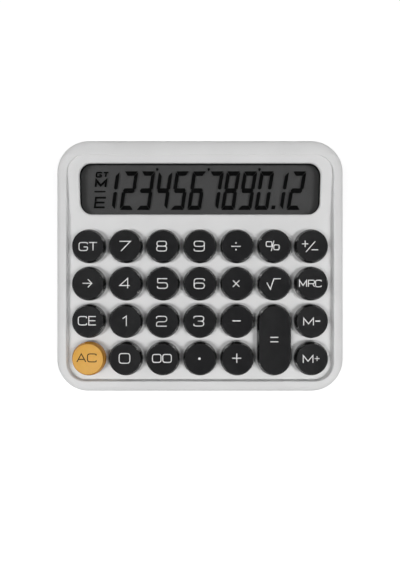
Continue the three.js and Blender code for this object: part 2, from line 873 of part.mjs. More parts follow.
// The whole calculator, tilted and stood on its feet with its middle over the origin
function makeCalculator() {
  const deck = new THREE.Group();
  deck.rotation.x = tilt;
  deck.add(makeTopCover(), makeKeys(), makeDisplay(), makeDomeSheet(), makeBoard(), makeChip(),
    makeScrews(), makeBase());
  const calculator = new THREE.Group();
  calculator.add(deck);
  calculator.updateMatrixWorld(true);
  const bounds = new THREE.Box3().setFromObject(calculator, true);
  const middle = bounds.getCenter(new THREE.Vector3());
  deck.position.set(0, -middle.y, -bounds.min.z);
  return calculator;
}

export default makeCalculator();
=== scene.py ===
# %% [markdown]
# # A desktop calculator, dressed around its frame
# The frame holds every real size and place: which pieces there are, where they lie, and how the keys and
# the battery door move. This lesson gives that frame its looks. Each shell, key and screw is modelled again
# with fine roundings, stays where the frame has it, and rides on the same body.

# %% Load the frame
import json
import math
from collections import namedtuple

import bmesh
import bpy
from mathutils import Matrix, Vector


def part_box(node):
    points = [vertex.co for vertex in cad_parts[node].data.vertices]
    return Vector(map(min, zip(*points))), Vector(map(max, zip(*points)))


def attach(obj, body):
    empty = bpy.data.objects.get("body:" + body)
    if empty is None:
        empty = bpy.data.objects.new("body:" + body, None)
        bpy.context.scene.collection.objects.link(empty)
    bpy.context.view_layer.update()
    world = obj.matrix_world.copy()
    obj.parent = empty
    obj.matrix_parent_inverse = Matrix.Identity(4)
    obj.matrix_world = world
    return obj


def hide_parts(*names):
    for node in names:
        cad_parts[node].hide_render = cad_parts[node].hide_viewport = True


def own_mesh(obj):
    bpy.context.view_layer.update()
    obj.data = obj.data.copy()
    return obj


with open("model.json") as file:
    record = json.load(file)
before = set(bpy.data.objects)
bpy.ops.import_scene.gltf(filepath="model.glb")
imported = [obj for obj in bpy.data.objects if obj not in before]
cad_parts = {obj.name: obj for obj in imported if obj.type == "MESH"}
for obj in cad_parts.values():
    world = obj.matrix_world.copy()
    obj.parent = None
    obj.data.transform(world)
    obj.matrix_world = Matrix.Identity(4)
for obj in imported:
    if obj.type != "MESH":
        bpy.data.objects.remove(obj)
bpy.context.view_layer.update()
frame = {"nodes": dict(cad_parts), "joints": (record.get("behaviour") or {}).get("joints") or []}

MM = 0.001

# %% [markdown]
# ## Three frames of reference
# A calculator of this kind is a wedge: the keys stand square to a deck that leans towards the user, and the
# display lies on a ramp that leans a little more. It would be possible to work in table coordinates and add
# the lean to every number. It is far simpler to draw each piece in the frame in which it is square, and to
# let one matrix carry it into place. The lean comes from the direction in which a key is pressed, and the
# ramp's from the largest face of the window pane.

# %% Deck and display frames
def frame_from(up, origin):
    """A frame whose z axis is up, whose x axis runs to the right, with its zero at origin."""
    across = Vector((1, 0, 0))
    back = up.cross(across).normalized()
    turn = Matrix((across, back, up)).transposed()
    return Matrix.Translation(origin) @ turn.to_4x4()


def box_in(node, place):
    """Lowest and highest corner of a node, measured along the axes of a frame."""
    inverse = place.inverted()
    points = [inverse @ vertex.co for vertex in frame["nodes"][node].data.vertices]
    low = Vector([min(point[axis] for point in points) for axis in range(3)])
    high = Vector([max(point[axis] for point in points) for axis in range(3)])
    return low, high


def middle_in(node, place):
    low, high = box_in(node, place)
    return (low + high) / 2


cap_rise = 6.5 * MM
window_lip = 1.0 * MM
seat_gap = 0.3 * MM

press = next(joint for joint in frame["joints"] if joint["name"] == "press_5")
deck_up = -Vector(press["axis"]).normalized()
lean = frame_from(deck_up, Vector())
back_left = middle_in("key_grand_total", lean)
front_right = middle_in("key_memory_plus", lean)
grid_middle = (back_left + front_right) / 2
grid_middle.z = box_in("key_5", lean)[1].z - cap_rise
deck = frame_from(deck_up, lean @ grid_middle)

pane = frame["nodes"]["display_window"].data
ramp_up = max((face for face in pane.polygons if face.normal.z > 0), key=lambda face: face.area).normal
ramp_lean = frame_from(ramp_up, Vector())
pane_low, pane_high = box_in("display_window", ramp_lean)
pane_middle = (pane_low + pane_high) / 2
pane_middle.z = pane_high.z + window_lip + seat_gap
display = frame_from(ramp_up, ramp_lean @ pane_middle)
table_frame = Matrix()
print("deck leans", round(math.degrees(deck_up.angle(Vector((0, 0, 1)))), 2), "degrees")
print("display leans", round(math.degrees(ramp_up.angle(deck_up)), 2), "degrees more")

# %% [markdown]
# ## Plans
# Nearly everything on a moulded case is a rounded rectangle at some height: the parting line, each step of
# the rim, the tray, the window. So a plan of four sides is the one shape to name, and growing or shrinking
# it by a wall or a gap gives its neighbours. The case, tray and window plans below come from the frame's
# boxes and from the few real sizes that boxes can't tell.

# %% Plans of the case, the tray and the window
Plan = namedtuple("Plan", "left right front back")


def grown(plan, by):
    return Plan(plan.left - by, plan.right + by, plan.front - by, plan.back + by)


def plan_of(node, place):
    low, high = box_in(node, place)
    return Plan(low.x, high.x, low.y, high.y)


def around(x, y, width, depth):
    """A plan of this width and depth about a point."""
    return Plan(x - width / 2, x + width / 2, y - depth / 2, y + depth / 2)


cap_radius = 8.75 * MM
key_margin = 3.05 * MM
wall = 2.2 * MM
corner_radius = 17.1 * MM
rim_width = 5.4 * MM
rim_width_back = 7.95 * MM
rim_drop = 2.9 * MM
wall_draft = 0.35 * MM
tray_depth = 3.2 * MM
tray_radius = 9.3 * MM
parting_drop = 6.0 * MM
pane_overlap = 1.6 * MM
window_radius = 6.3 * MM
slide_gap = 0.3 * MM
stop_gap = 0.4 * MM
overrun = 5.0 * MM

case = plan_of("top_cover", deck)
first_key = middle_in("key_grand_total", deck)
last_key = middle_in("key_memory_plus", deck)
tray = Plan(
    first_key.x - cap_radius - key_margin,
    last_key.x + cap_radius + key_margin,
    last_key.y - cap_radius - key_margin,
    case.back - wall_draft - rim_width_back,
)
window = grown(plan_of("display_window", display), -pane_overlap)
print("case", [round(side / MM, 2) for side in case])
print("tray", [round(side / MM, 2) for side in tray])
print("window", [round(side / MM, 2) for side in window])

# %% [markdown]
# ## Lofting plates into skins
# A moulded skin could be pushed and pulled from a cube, but its corners would never be true arcs. Here a
# plate is a one-face grid whose corners are bevelled as vertices, which gives exact round corners. A stack
# of such plates has the same number of points at every level, so bridging each rim to the next makes a
# clean skin of long even faces. The first and last plate stay on as its ends.

# %% Plates, lofts and prisms
corner_steps = 20
prism_steps = 6
rod_sides = 32
fine_sides = 48
round_profile = 0.5


def add_plate(bm, plan, radius, z, place=table_frame, steps=corner_steps):
    """A level face with round corners; returns it."""
    middle = Vector(((plan.left + plan.right) / 2, (plan.front + plan.back) / 2, z))
    spread = Matrix.Diagonal((plan.right - plan.left, plan.back - plan.front, 1, 1))
    where = Matrix.Translation(middle) @ spread
    corners = bmesh.ops.create_grid(bm, x_segments=1, y_segments=1, size=0.5, matrix=where)["verts"]
    if radius > 0:
        corners = bmesh.ops.bevel(
            bm, geom=corners, offset=radius, offset_type="OFFSET", affect="VERTICES",
            segments=steps, profile=round_profile, material=-1,
        )["verts"]
    face = corners[0].link_faces[0]
    bmesh.ops.transform(bm, matrix=place, verts=face.verts)
    return face


def loft(bm, plates):
    """Walls from each plate to the next; only the first and the last plate keep their face."""
    rims = [list(plate.edges) for plate in plates]
    bmesh.ops.delete(bm, geom=plates[1:-1], context="FACES_ONLY")
    for below, above in zip(rims, rims[1:]):
        bmesh.ops.bridge_loops(bm, edges=below + above)
    bmesh.ops.recalc_face_normals(bm, faces=bm.faces)


def prism(bm, plan, radius, low, high, place=table_frame, steps=prism_steps):
    loft(bm, [add_plate(bm, plan, radius, z, place, steps) for z in (low, high)])


def quarter(steps):
    """The angles of a quarter turn, with both its ends."""
    return [step / steps * math.pi / 2 for step in range(steps + 1)]


def rod(bm, x, y, radius, low, high, place=table_frame, sides=rod_sides):
    where = place @ Matrix.Translation((x, y, (low + high) / 2))
    bmesh.ops.create_cone(bm, cap_ends=True, segments=sides, radius1=radius, radius2=radius,
                          depth=high - low, matrix=where)


# %% [markdown]
# ## From a bmesh to a piece
# Openings, bores and pockets are cut as they would be on a mill, with a solid of the tool's shape. On some
# pieces a small bevel then breaks the cut edges, because a perfectly sharp plastic edge catches no light and
# looks drawn.
# Every piece keeps its object at the origin, and large flat faces keep their flat shading through weighted
# normals.

# %% Objects, cuts and finishing
smooth_angle = math.radians(32)
broken_angle = math.radians(40)
sharp_angle = math.radians(30)


def object_from(bm, name):
    mesh = bpy.data.meshes.new(name)
    bm.to_mesh(mesh)
    bm.free()
    piece = bpy.data.objects.new(name, mesh)
    bpy.context.scene.collection.objects.link(piece)
    return piece


def applied(piece):
    """Puts the result of a piece's modifiers into its mesh."""
    seen = piece.evaluated_get(bpy.context.evaluated_depsgraph_get())
    mesh = bpy.data.meshes.new_from_object(seen)
    mesh.materials.clear()
    piece.modifiers.clear()
    before = piece.data
    piece.data = mesh
    bpy.data.meshes.remove(before)
    return piece


def combine(piece, tool, how):
    """Cuts a solid from a piece, joins it on, or keeps what they share; the tool is used up."""
    modifier = piece.modifiers.new(how, "BOOLEAN")
    modifier.operation = how
    modifier.solver = "MANIFOLD"
    modifier.object = tool
    applied(piece)
    bpy.data.objects.remove(tool)
    return piece


def solid(name, make, *sizes):
    """A piece or a tool, made by one of the functions that fill a bmesh."""
    bm = bmesh.new()
    make(bm, *sizes)
    return object_from(bm, name)


def cut(piece, make, *sizes):
    return combine(piece, solid("cutter", make, *sizes), "DIFFERENCE")


def join(piece, make, *sizes):
    return combine(piece, solid("addition", make, *sizes), "UNION")


# %% Bevels, kept meshes and the last step of every piece
def bevelled(piece, width, steps, limit=sharp_angle):
    """Breaks every edge that is sharper than a limit."""
    edge = piece.modifiers.new("broken edges", "BEVEL")
    edge.width = width
    edge.segments = steps
    edge.limit_method = "ANGLE"
    edge.angle_limit = limit
    return applied(piece)


def mesh_of(piece, name):
    """Keeps the mesh of a piece, to be copied, and drops the piece."""
    mesh = piece.data
    mesh.name = name
    bpy.data.objects.remove(piece)
    print(name, len(mesh.polygons), "faces")
    return mesh


def finish(piece, body, node, materials, broken=0.0):
    """Breaks the edges, sets the shading and the materials, and ties the piece to the frame."""
    if broken > 0:
        bevelled(piece, broken, 2, broken_angle)
    for material in materials:
        piece.data.materials.append(material)
    piece.data.polygons.foreach_set("use_smooth", [True] * len(piece.data.polygons))
    piece.data.set_sharp_from_angle(angle=smooth_angle)
    weighted = piece.modifiers.new("weighted normals", "WEIGHTED_NORMAL")
    weighted.keep_sharp = True
    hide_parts(*node)
    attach(piece, body)
    print(piece.name, len(piece.data.polygons), "faces")
    return piece

# %% [markdown]
# ## Materials
# Every finish is a Principled shader with a little pattern of its own. One small function adds a node with
# its settings and its links, so a material reads as a list of what feeds what. Colours are written as they
# would be picked on a screen, and one function turns them linear. Pattern sizes are written in millimetres
# of real grain, and a helper turns a grain size into a noise scale.

# %% Colour, grain and nodes
patch_detail = 2.0
patch_span = (0.35, 0.65)
grain_detail = 3.0
grain_span = (0.3, 0.7)


def linear(code):
    """Linear colour of an sRGB hex value."""
    def channel(part):
        value = int(part, 16) / 255
        return value / 12.92 if value <= 0.04045 else ((value + 0.055) / 1.055) ** 2.4
    return [channel(code[first:first + 2]) for first in (1, 3, 5)] + [1.0]


def per(size):
    """Noise scale whose features are about this size."""
    return 1 / size


def add(tree, kind, inputs=None, **settings):
    """Adds a node; inputs gives its sockets a value or the socket that feeds them."""
    node = tree.nodes.new("ShaderNode" + kind)
    for key, value in settings.items():
        setattr(node, key, value)
    for key, value in (inputs or {}).items():
        if isinstance(value, bpy.types.NodeSocket):
            tree.links.new(value, node.inputs[key])
        else:
            node.inputs[key].default_value = value
    return node


def new_material(name, **values):
    """A Principled material with its tree, its shader and the socket of object coordinates."""
    material = bpy.data.materials.new(name)
    material.use_nodes = True
    tree = material.node_tree
    shader = tree.nodes["Principled BSDF"]
    for key, value in values.items():
        shader.inputs[key.replace("_", " ")].default_value = value
    print("material:", name)
    return material, tree, shader, add(tree, "TexCoord").outputs["Object"]


# %% Mottle, grain and moulded finishes
def two_tones(ramp, codes, span=(0.0, 1.0)):
    """Sets the two ends of a colour ramp; between them the tones blend."""
    for element, position, code in zip(ramp.elements, span, codes):
        element.position = position
        element.color = linear(code)


def mottled(tree, shader, place, codes, size):
    """Colour that wanders between two tones over patches of a size."""
    patches = add(tree, "TexNoise", {"Vector": place, "Scale": per(size), "Detail": patch_detail})
    tones = add(tree, "ValToRGB", {"Fac": patches.outputs["Fac"]})
    two_tones(tones.color_ramp, codes, patch_span)
    tree.links.new(tones.outputs["Color"], shader.inputs["Base Color"])
    return tones


def grained(tree, shader, place, size, height, roughness):
    """Fine moulded grain: bumps of a size and height, with roughness that follows them."""
    grain = add(tree, "TexNoise", {"Vector": place, "Scale": per(size), "Detail": grain_detail})
    bump = add(tree, "Bump", {"Height": grain.outputs["Fac"], "Distance": height})
    tree.links.new(bump.outputs["Normal"], shader.inputs["Normal"])
    low, high = grain_span
    spread = add(tree, "MapRange", {"Value": grain.outputs["Fac"], "From Min": low, "From Max": high,
                                    "To Min": roughness[0], "To Max": roughness[1]})
    tree.links.new(spread.outputs["Result"], shader.inputs["Roughness"])


def moulded(name, codes, patch, grain, height, roughness, **values):
    """Moulded plastic or rubber: mottled colour over a fine grain."""
    material, tree, shader, place = new_material(name, **values)
    mottled(tree, shader, place, codes, patch)
    grained(tree, shader, place, grain, height, roughness)
    return material


# %% [markdown]
# ### Plastics of the case and keys
# The shells are injection moulded ABS with a fine spark-eroded grain. On a real shell the grain is about a
# tenth of a millimetre across; it is drawn a little coarser so that it survives at this picture size. ABS
# has an IOR near 1.54. The keys are the same plastic in near-black, and one in amber: satin on the face and
# polished at the sides, so the sides are black where they mirror a dark gap and bright where they mirror the
# pale deck. The sides are also given a darker tone than the face, which is painted shade for the shaded
# walls of the caps. The black sides are given a higher IOR than ABS has, because the real reflections
# would be too faint to show at this picture size.
# The legends are pad printed, so they are a thin dry ink with hardly any gloss.

# %% Shell, key and ink materials
abs_ior = 1.54
ink_ior = 1.5
satin_level = 0.3
mirror_ior = 1.8
mirror_level = 1.0
shell_abs = moulded(
    "spark-grained ABS, pale grey", ("#dbdbdb", "#dfdfdf"), patch=18 * MM, grain=0.28 * MM,
    height=0.012 * MM, roughness=(0.46, 0.56), IOR=abs_ior,
)
key_abs = moulded(
    "satin ABS, near-black", ("#1f1f20", "#232324"), patch=5 * MM, grain=0.3 * MM,
    height=0.012 * MM, roughness=(0.28, 0.36), IOR=abs_ior, Specular_IOR_Level=satin_level,
)
amber_abs = moulded(
    "satin ABS, amber", ("#d9a247", "#deaa50"), patch=5 * MM, grain=0.3 * MM,
    height=0.012 * MM, roughness=(0.3, 0.38), IOR=abs_ior,
)
# Darker than the key face: painted shade for the shaded walls of the black caps, over their real polish.
key_side_shade_gloss = moulded(
    "polished ABS, near-black", ("#070707", "#090909"), patch=5 * MM, grain=0.3 * MM,
    height=0.001 * MM, roughness=(0.06, 0.1), IOR=mirror_ior, Specular_IOR_Level=mirror_level,
)
# Darker than the amber face: painted shade for the shaded walls of the amber cap, over its real polish.
amber_side_shade_gloss = moulded(
    "polished ABS, amber", ("#b9802c", "#c08834"), patch=5 * MM, grain=0.3 * MM,
    height=0.001 * MM, roughness=(0.1, 0.16), IOR=abs_ior,
)
pale_ink = moulded(
    "pad-printed ink, light grey", ("#dedede", "#e6e6e6"), patch=1 * MM, grain=0.12 * MM,
    height=0.004 * MM, roughness=(0.55, 0.7), IOR=ink_ior,
)
brown_ink = moulded(
    "pad-printed ink, dark brown", ("#2c1b06", "#342109"), patch=1 * MM, grain=0.12 * MM,
    height=0.004 * MM, roughness=(0.55, 0.7), IOR=ink_ior,
)

# %% [markdown]
# ## Top cover
# The top cover is one moulding: a wall that rises from the parting line, a soft rim, the sunken tray with
# its flat key deck, and the ramp to the window. The rim is a quarter of an ellipse, wider at the back, so
# it is lofted from plates whose back side moves in faster than the others. The tray goes on downwards with
# a rounded lip, which is made shallower at the back, where the ramp leaves less height for it. The skin is
# cut across at the ramp's blend, and the points of the floor are lifted to the height that the ramp has
# there.

# %% The height of the deck
key_row_gap = 1.0 * MM
ramp_blend = 6.0 * MM
ramp_step = 0.35 * MM
blend_steps = 10
ramp_start = first_key.y + cap_radius + key_row_gap
ramp_slope = (tray_depth - ramp_step) / (tray.back - ramp_start - ramp_blend / 2)


def deck_height(y):
    past = min(y, tray.back) - ramp_start
    if past <= 0:
        return 0.0
    if past < ramp_blend:
        return ramp_slope * past * past / (2 * ramp_blend)
    return ramp_slope * (past - ramp_blend / 2)


def cut_across(bm):
    """Cuts a mesh in the deck frame at each step of the blend, and where the tray ends."""
    places = [ramp_start + ramp_blend * step / blend_steps for step in range(blend_steps + 1)]
    for y in places + [tray.back]:
        everything = bm.verts[:] + bm.edges[:] + bm.faces[:]
        bmesh.ops.bisect_plane(bm, geom=everything, plane_co=(0, y, 0), plane_no=(0, 1, 0))


# %% Skin of the top cover
rim_steps = 12
lip_radius = 0.6 * MM
lip_drop = 1.4 * MM
lip_share = 0.6    # how much of the height over the ramp the lip may take
foot_radius = 0.1 * MM
foot_catch = 1.5 * foot_radius
hair = 1.01    # a little more than the whole, to catch points that lie on a limit
lip_steps = 4
foot_steps = 2


def shifted(plan, by, back_by):
    return Plan(plan.left + by, plan.right - by, plan.front + by, plan.back - back_by)


def cover_skin(bm):
    plates = [add_plate(bm, case, corner_radius, -parting_drop)]
    rim_round = rim_width - wall_draft
    tighter = (corner_radius - tray_radius) / (case.right - tray.right)
    for angle in quarter(rim_steps):
        share = 1 - math.cos(angle)
        by = wall_draft + rim_round * share
        back_by = by + (rim_width_back - rim_width) * share
        z = tray_depth - rim_drop * (1 - math.sin(angle))
        plates.append(add_plate(bm, shifted(case, by, back_by), corner_radius - by * tighter, z))
    for angle in quarter(lip_steps):
        out = lip_radius * (1 - math.sin(angle))
        z = tray_depth - lip_drop * (1 - math.cos(angle))
        plates.append(add_plate(bm, grown(tray, out), tray_radius + out, z))
    for angle in quarter(foot_steps):
        out = -foot_radius * (1 - math.cos(angle))
        z = foot_radius * (1 - math.sin(angle))
        plates.append(add_plate(bm, grown(tray, out), tray_radius + out, z))
    loft(bm, plates)
    cut_across(bm)
    near = grown(tray, foot_radius)
    over = grown(tray, lip_radius * hair)
    for vert in bm.verts:
        in_lip = over.left < vert.co.x < over.right and over.front < vert.co.y < over.back
        if in_lip and tray_depth - lip_drop * hair < vert.co.z:
            high = tray_depth - deck_height(vert.co.y)
            shallower = min(1.0, high * lip_share / lip_drop)
            vert.co.z = tray_depth - (tray_depth - vert.co.z) * shallower
        in_tray = near.left < vert.co.x < near.right and near.front < vert.co.y < near.back
        if in_tray and -foot_radius < vert.co.z < foot_catch:
            vert.co.z += deck_height(vert.co.y)


def cover_cavity(bm):
    by = wall_draft + wall
    prism(bm, grown(case, -by), corner_radius - by, -parting_drop - overrun, -wall, steps=8)
    cut_across(bm)
    for vert in bm.verts:
        if vert.co.z > -wall - overrun / 2:
            vert.co.z += deck_height(vert.co.y)


top_cover = solid("top_cover_shell", cover_skin)
cut(top_cover, cover_cavity)
print("top cover skin", len(top_cover.data.polygons), "faces")

# %% [markdown]
# ### Openings, guides and bosses
# The window opening has a half-millimetre chamfer, which shows as a bright line around the display, and a
# pocket behind it that seats the pane. Each key slides in a square guide hole. Six bosses take the case
# screws from below and four shorter posts hold the circuit board; their places come from the screws.

# %% Cut the window, the guides and the bosses
window_chamfer = 0.5 * MM
sleeve_width = 11.0 * MM
guide_corner = 0.6 * MM
boss_radius = 2.7 * MM
post_radius = 2.2 * MM
seat_web = 2.4 * MM
case_head_height = 1.8 * MM
case_shank = 1.2 * MM
case_length = 9.0 * MM
board_shank = 0.8 * MM
board_length = 6.0 * MM


def head_of(screw):
    """The middle of the outer face of a screw's head, in the deck frame."""
    low, high = box_in(screw, deck)
    return Vector(((low.x + high.x) / 2, (low.y + high.y) / 2, low.z))


case_screws = [head_of(f"case_screw_{number}") for number in range(1, 7)]
board_screws = [head_of(f"board_screw_{number}") for number in range(1, 5)]
board_top = box_in("circuit_board", deck)[1].z
board_thickness = 1.6 * MM
key_places = {
    name[len("key_"):]: middle_in(name, deck) for name in frame["nodes"] if name.startswith("key_")
}
columns = sorted({round(place.x, 5) for place in key_places.values()})
rows = sorted({round(place.y, 5) for name, place in key_places.items() if name != "equals"})


def window_chamfer_tool(bm):
    wide = grown(window, window_chamfer)
    wide_radius = window_radius + window_chamfer
    loft(bm, [
        add_plate(bm, window, window_radius, -window_chamfer, display),
        add_plate(bm, wide, wide_radius, 0, display),
        add_plate(bm, wide, wide_radius, overrun, display),
    ])


def openings_tool(bm):
    pane_seat = grown(window, pane_overlap + slide_gap)
    prism(bm, pane_seat, window_radius + pane_overlap, -overrun, -window_lip, display, corner_steps)
    hole = sleeve_width + 2 * slide_gap
    for x in columns:
        for y in rows:
            prism(bm, around(x, y, hole, hole), guide_corner, -wall - overrun, overrun, deck, steps=3)


def bosses_tool(bm, grow):
    """Bosses and posts for grow of zero, and their bores for the shank's clearance."""
    for place in case_screws:
        low = place.z + case_head_height + seat_gap + seat_web + seat_gap
        if grow > 0:
            rod(bm, place.x, place.y, case_shank + grow, low - overrun, low + case_length, deck)
        else:
            rod(bm, place.x, place.y, boss_radius, low, deck_height(place.y) - wall / 2, deck)
    for place in board_screws:
        low = board_top + seat_gap
        if grow > 0:
            high = low + board_length - board_thickness
            rod(bm, place.x, place.y, board_shank + grow, low - overrun, high, deck)
        else:
            rod(bm, place.x, place.y, post_radius, low, -wall / 2, deck)


# %% Build the top cover
top_cover.data.transform(deck)
join(top_cover, bosses_tool, 0)
cut(top_cover, bosses_tool, slide_gap)
cut(top_cover, prism, window, window_radius, -overrun, overrun, display, corner_steps)
cut(top_cover, window_chamfer_tool)
cut(top_cover, openings_tool)
finish(top_cover, "case", ["top_cover"], [shell_abs])

# %% [markdown]
# ## Bottom cover
# The bottom cover is the wedge itself. Its underside is level with the table while its parting line leans
# with the deck, so no single push of a face makes it: it is lofted from a level plate with a rounded edge up
# to a leaning one. Inside it has a tongue that locates the top cover, towers over the screw holes, and the
# battery bay, which the door closes from below. All of it is joined on or cut away as solids.

# %% Sizes of the base
floor_thickness = 2.4 * MM
seam_inset = 0.4 * MM
seam_gap = 0.3 * MM
foot_inset = 1.6 * MM
bottom_round = 2.5 * MM
tongue_height = 2.0 * MM
tongue_thickness = 1.0 * MM
flange_height = 2.0 * MM
round_steps = 8
parting_low = -parting_drop - seam_gap
tongue_inset = wall_draft + wall + slide_gap

door_low, door_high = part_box("battery_door")
underside = door_low.z
base = Plan(
    case.left, case.right,
    (deck @ Vector((0, case.front, parting_low))).y, (deck @ Vector((0, case.back, parting_low))).y,
)


def base_skin(bm):
    plates = []
    for angle in quarter(round_steps):
        by = foot_inset + bottom_round * (1 - math.sin(angle))
        z = underside + bottom_round * (1 - math.cos(angle))
        plates.append(add_plate(bm, grown(base, -by), corner_radius - by, z))
    plates.append(add_plate(bm, grown(case, -seam_inset), corner_radius - seam_inset, parting_low, deck))
    loft(bm, plates)


def base_cavity(bm):
    low_by = foot_inset + wall
    high_by = seam_inset + wall
    high = parting_low - flange_height
    loft(bm, [
        add_plate(bm, grown(base, -low_by), corner_radius - low_by, underside + floor_thickness),
        add_plate(bm, grown(case, -high_by), corner_radius - high_by, high, deck),
    ])


def base_mouth(bm):
    by = tongue_inset + tongue_thickness
    low = parting_low - flange_height - seat_gap
    prism(bm, grown(case, -by), corner_radius - by, low, parting_low + overrun, deck, corner_steps)


def base_tongue(bm):
    plan = grown(case, -tongue_inset)
    low = parting_low - flange_height
    prism(bm, plan, corner_radius - tongue_inset, low, -parting_drop + tongue_height, deck, corner_steps)


bottom_cover = solid("bottom_cover_shell", base_skin)
join(bottom_cover, base_tongue)
cut(bottom_cover, base_cavity)
cut(bottom_cover, base_mouth)
print("base skin", len(bottom_cover.data.polygons), "faces")

# %% [markdown]
# ### Battery bay and door
# The door is a stepped plate: its lower step lies flush with the underside, and its wider upper step runs
# in grooves of the base, so it can only slide out backwards. Door and opening come from one function, with
# a clearance for the opening and none for the door, so they can't drift apart.

# %% Door steps, bay and door
cell_radius = 5.25 * MM
bay_wall = 1.3 * MM
bay_roof = 1.0 * MM
door_lip = 1.2 * MM
door_tongue = 1.5 * MM
contact_width = 8.0 * MM
tab_reach = 1.8 * MM
door_plan = Plan(
    door_low.x + door_tongue, door_high.x - door_tongue, door_low.y + door_tongue, base.back + overrun,
)
cell_low, cell_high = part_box("battery_cell")
bay_back = 2 * middle_in("battery_cell", table_frame).y - (door_plan.front + bay_wall)
bay = Plan(door_plan.left + bay_wall, door_plan.right - bay_wall, door_plan.front + bay_wall, bay_back)
bay_top = cell_high.z + seat_gap


def door_step(bm, gap, upper):
    out = gap + (door_tongue if upper else 0)
    plan = Plan(door_plan.left - out, door_plan.right + out, door_plan.front - out, door_plan.back)
    low = underside + door_lip + seat_gap - gap if upper else underside - overrun
    prism(bm, plan, 0, low, underside + floor_thickness + gap)


def bay_block(bm):
    out = bay_wall + door_tongue + bay_wall
    plan = Plan(bay.left - out, bay.right + out, bay.front - bay_wall, bay.back + bay_wall)
    prism(bm, plan, 0, underside + floor_thickness / 2, bay_top + bay_roof)


def bay_tabs(bm):
    middle = (bay.front + bay.back) / 2
    for left, right in ((bay.left, bay.left + tab_reach), (bay.right - tab_reach, bay.right)):
        plan = Plan(left, right, middle - contact_width / 2, middle + contact_width / 2)
        prism(bm, plan, 0, bay_top - overrun, bay_top + overrun)


join(bottom_cover, bay_block)
cut(bottom_cover, prism, bay, 0, underside - overrun, bay_top)
cut(bottom_cover, bay_tabs)
for upper in (False, True):
    cut(bottom_cover, door_step, slide_gap, upper)

battery_door = solid("battery_door_slide", door_step, 0, False)
join(battery_door, door_step, 0, True)
combine(battery_door, solid("keeper", base_skin), "INTERSECT")

# %% [markdown]
# ### Screw holes, feet and finger grip
# Each screw sits at the bottom of a counterbore in the underside, where a driver reaches it, and each foot
# sits in a shallow round recess. The thumb finds the door by four grooves pressed into it, across the
# direction in which it slides.

# %% Towers, counterbores, recesses and grip
case_head_radius = 2.3 * MM
tower_radius = 3.9 * MM
foot_radius_low = 4.8 * MM
foot_recess = 0.8 * MM
grip_depth = 0.5 * MM
grip_length = 14.0 * MM
grip_pitch = 1.8 * MM
grip_count = 4
grip_corner = grip_pitch / 4.5
head_room = case_head_height + seat_gap
foot_places = [middle_in(f"foot_{number}", table_frame) for number in range(1, 5)]


def towers(bm):
    for place in case_screws:
        seat = place.z + head_room
        floor_middle = deck @ place
        drop = (floor_middle.z - underside - floor_thickness / 2) / deck_up.z
        rod(bm, place.x, place.y, tower_radius, place.z - drop, seat + seat_web, deck)


def bores(bm, radius, below, above):
    """A rod on the axis of each case screw, from so far below its seat to so far above it."""
    for place in case_screws:
        seat = place.z + head_room
        rod(bm, place.x, place.y, radius, seat - below, seat + above, deck)


def foot_recesses(bm):
    for place in foot_places:
        radius = foot_radius_low + slide_gap
        rod(bm, place.x, place.y, radius, underside - overrun, underside + foot_recess, sides=fine_sides)


def grip_grooves(bm):
    middle = (bay.front + bay.back) / 2
    for step in range(grip_count):
        y = middle + (step - (grip_count - 1) / 2) * grip_pitch
        groove = around(0, y, grip_length, grip_pitch / 2)
        prism(bm, groove, grip_corner, underside - overrun, underside + grip_depth)


join(bottom_cover, towers)
cut(bottom_cover, bores, case_head_radius + stop_gap, head_room + overrun, 0)
cut(bottom_cover, bores, case_shank + slide_gap, overrun, seat_web + overrun)
cut(bottom_cover, foot_recesses)
cut(battery_door, grip_grooves)
finish(bottom_cover, "case", ["bottom_cover"], [shell_abs])
finish(battery_door, "battery_door", ["battery_door"], [shell_abs], broken=0.12 * MM)

# %% [markdown]
# ## Key caps
# A key is a turned cap on a square sleeve that slides in the deck. Turning is the natural way to make the
# cap: its profile is drawn once, from the middle of the dished face over the edge, down two sloping walls
# with a narrow ledge above each, and back up the inside, and is spun round. The two polished walls matter
# most, because they mirror the pale deck between the keys as the thin arcs that outline each black key. The
# long key is the same turned cap, parted along its middle, drawn apart and bridged.

# %% Turning, stretching and copying
merge_within = 0.0005 * MM
cap_sides = 96
spun_sides = 64
touching = 0.001 * MM


def turned(bm, profile, sides=cap_sides, closed=False):
    """A solid spun round the z axis from its profile of (radius, height); a closed one is hollow."""
    verts = [bm.verts.new((radius, 0, z)) for radius, z in profile]
    pairs = zip(verts, verts[1:] + verts[:1] if closed else verts[1:])
    edges = [bm.edges.new(pair) for pair in pairs if pair[0].co.x > 0 or pair[1].co.x > 0]
    bmesh.ops.spin(bm, geom=verts + edges, cent=(0, 0, 0), axis=(0, 0, 1), angle=2 * math.pi,
                   steps=sides, use_merge=True)
    bmesh.ops.remove_doubles(bm, verts=bm.verts, dist=merge_within)
    bmesh.ops.recalc_face_normals(bm, faces=bm.faces)


def stretch(bm, reach):
    """Parts a turned solid along y = 0, moves the halves apart and bridges them."""
    seam = [edge for edge in bm.edges if all(abs(vert.co.y) < touching for vert in edge.verts)]
    bmesh.ops.split_edges(bm, edges=seam)
    for vert in bm.verts:
        side = sum(face.calc_center_median().y for face in vert.link_faces)
        vert.co.y += math.copysign(reach, side)
    bmesh.ops.bridge_loops(bm, edges=[edge for edge in bm.edges if edge.is_boundary])
    bmesh.ops.recalc_face_normals(bm, faces=bm.faces)


def add_copy(bm, mesh, place):
    """Adds a finished mesh to a bmesh, set in place."""
    before = len(bm.verts)
    bm.from_mesh(mesh)
    bm.verts.ensure_lookup_table()
    bmesh.ops.transform(bm, matrix=place, verts=bm.verts[before:])


def arc(middle, across, rise, first, last, steps):
    """Points of an ellipse's stretch, its angles in degrees from the outward direction."""
    turns = [math.radians(first + (last - first) * step / steps) for step in range(steps + 1)]
    return [(middle[0] + across * math.cos(turn), middle[1] + rise * math.sin(turn)) for turn in turns]


# %% Profile of the cap
cap_face_radius = 7.78 * MM
cap_dish = 0.4 * MM
cap_wall = 1.4 * MM
cap_roof = 1.5 * MM
edge_round = 0.1 * MM
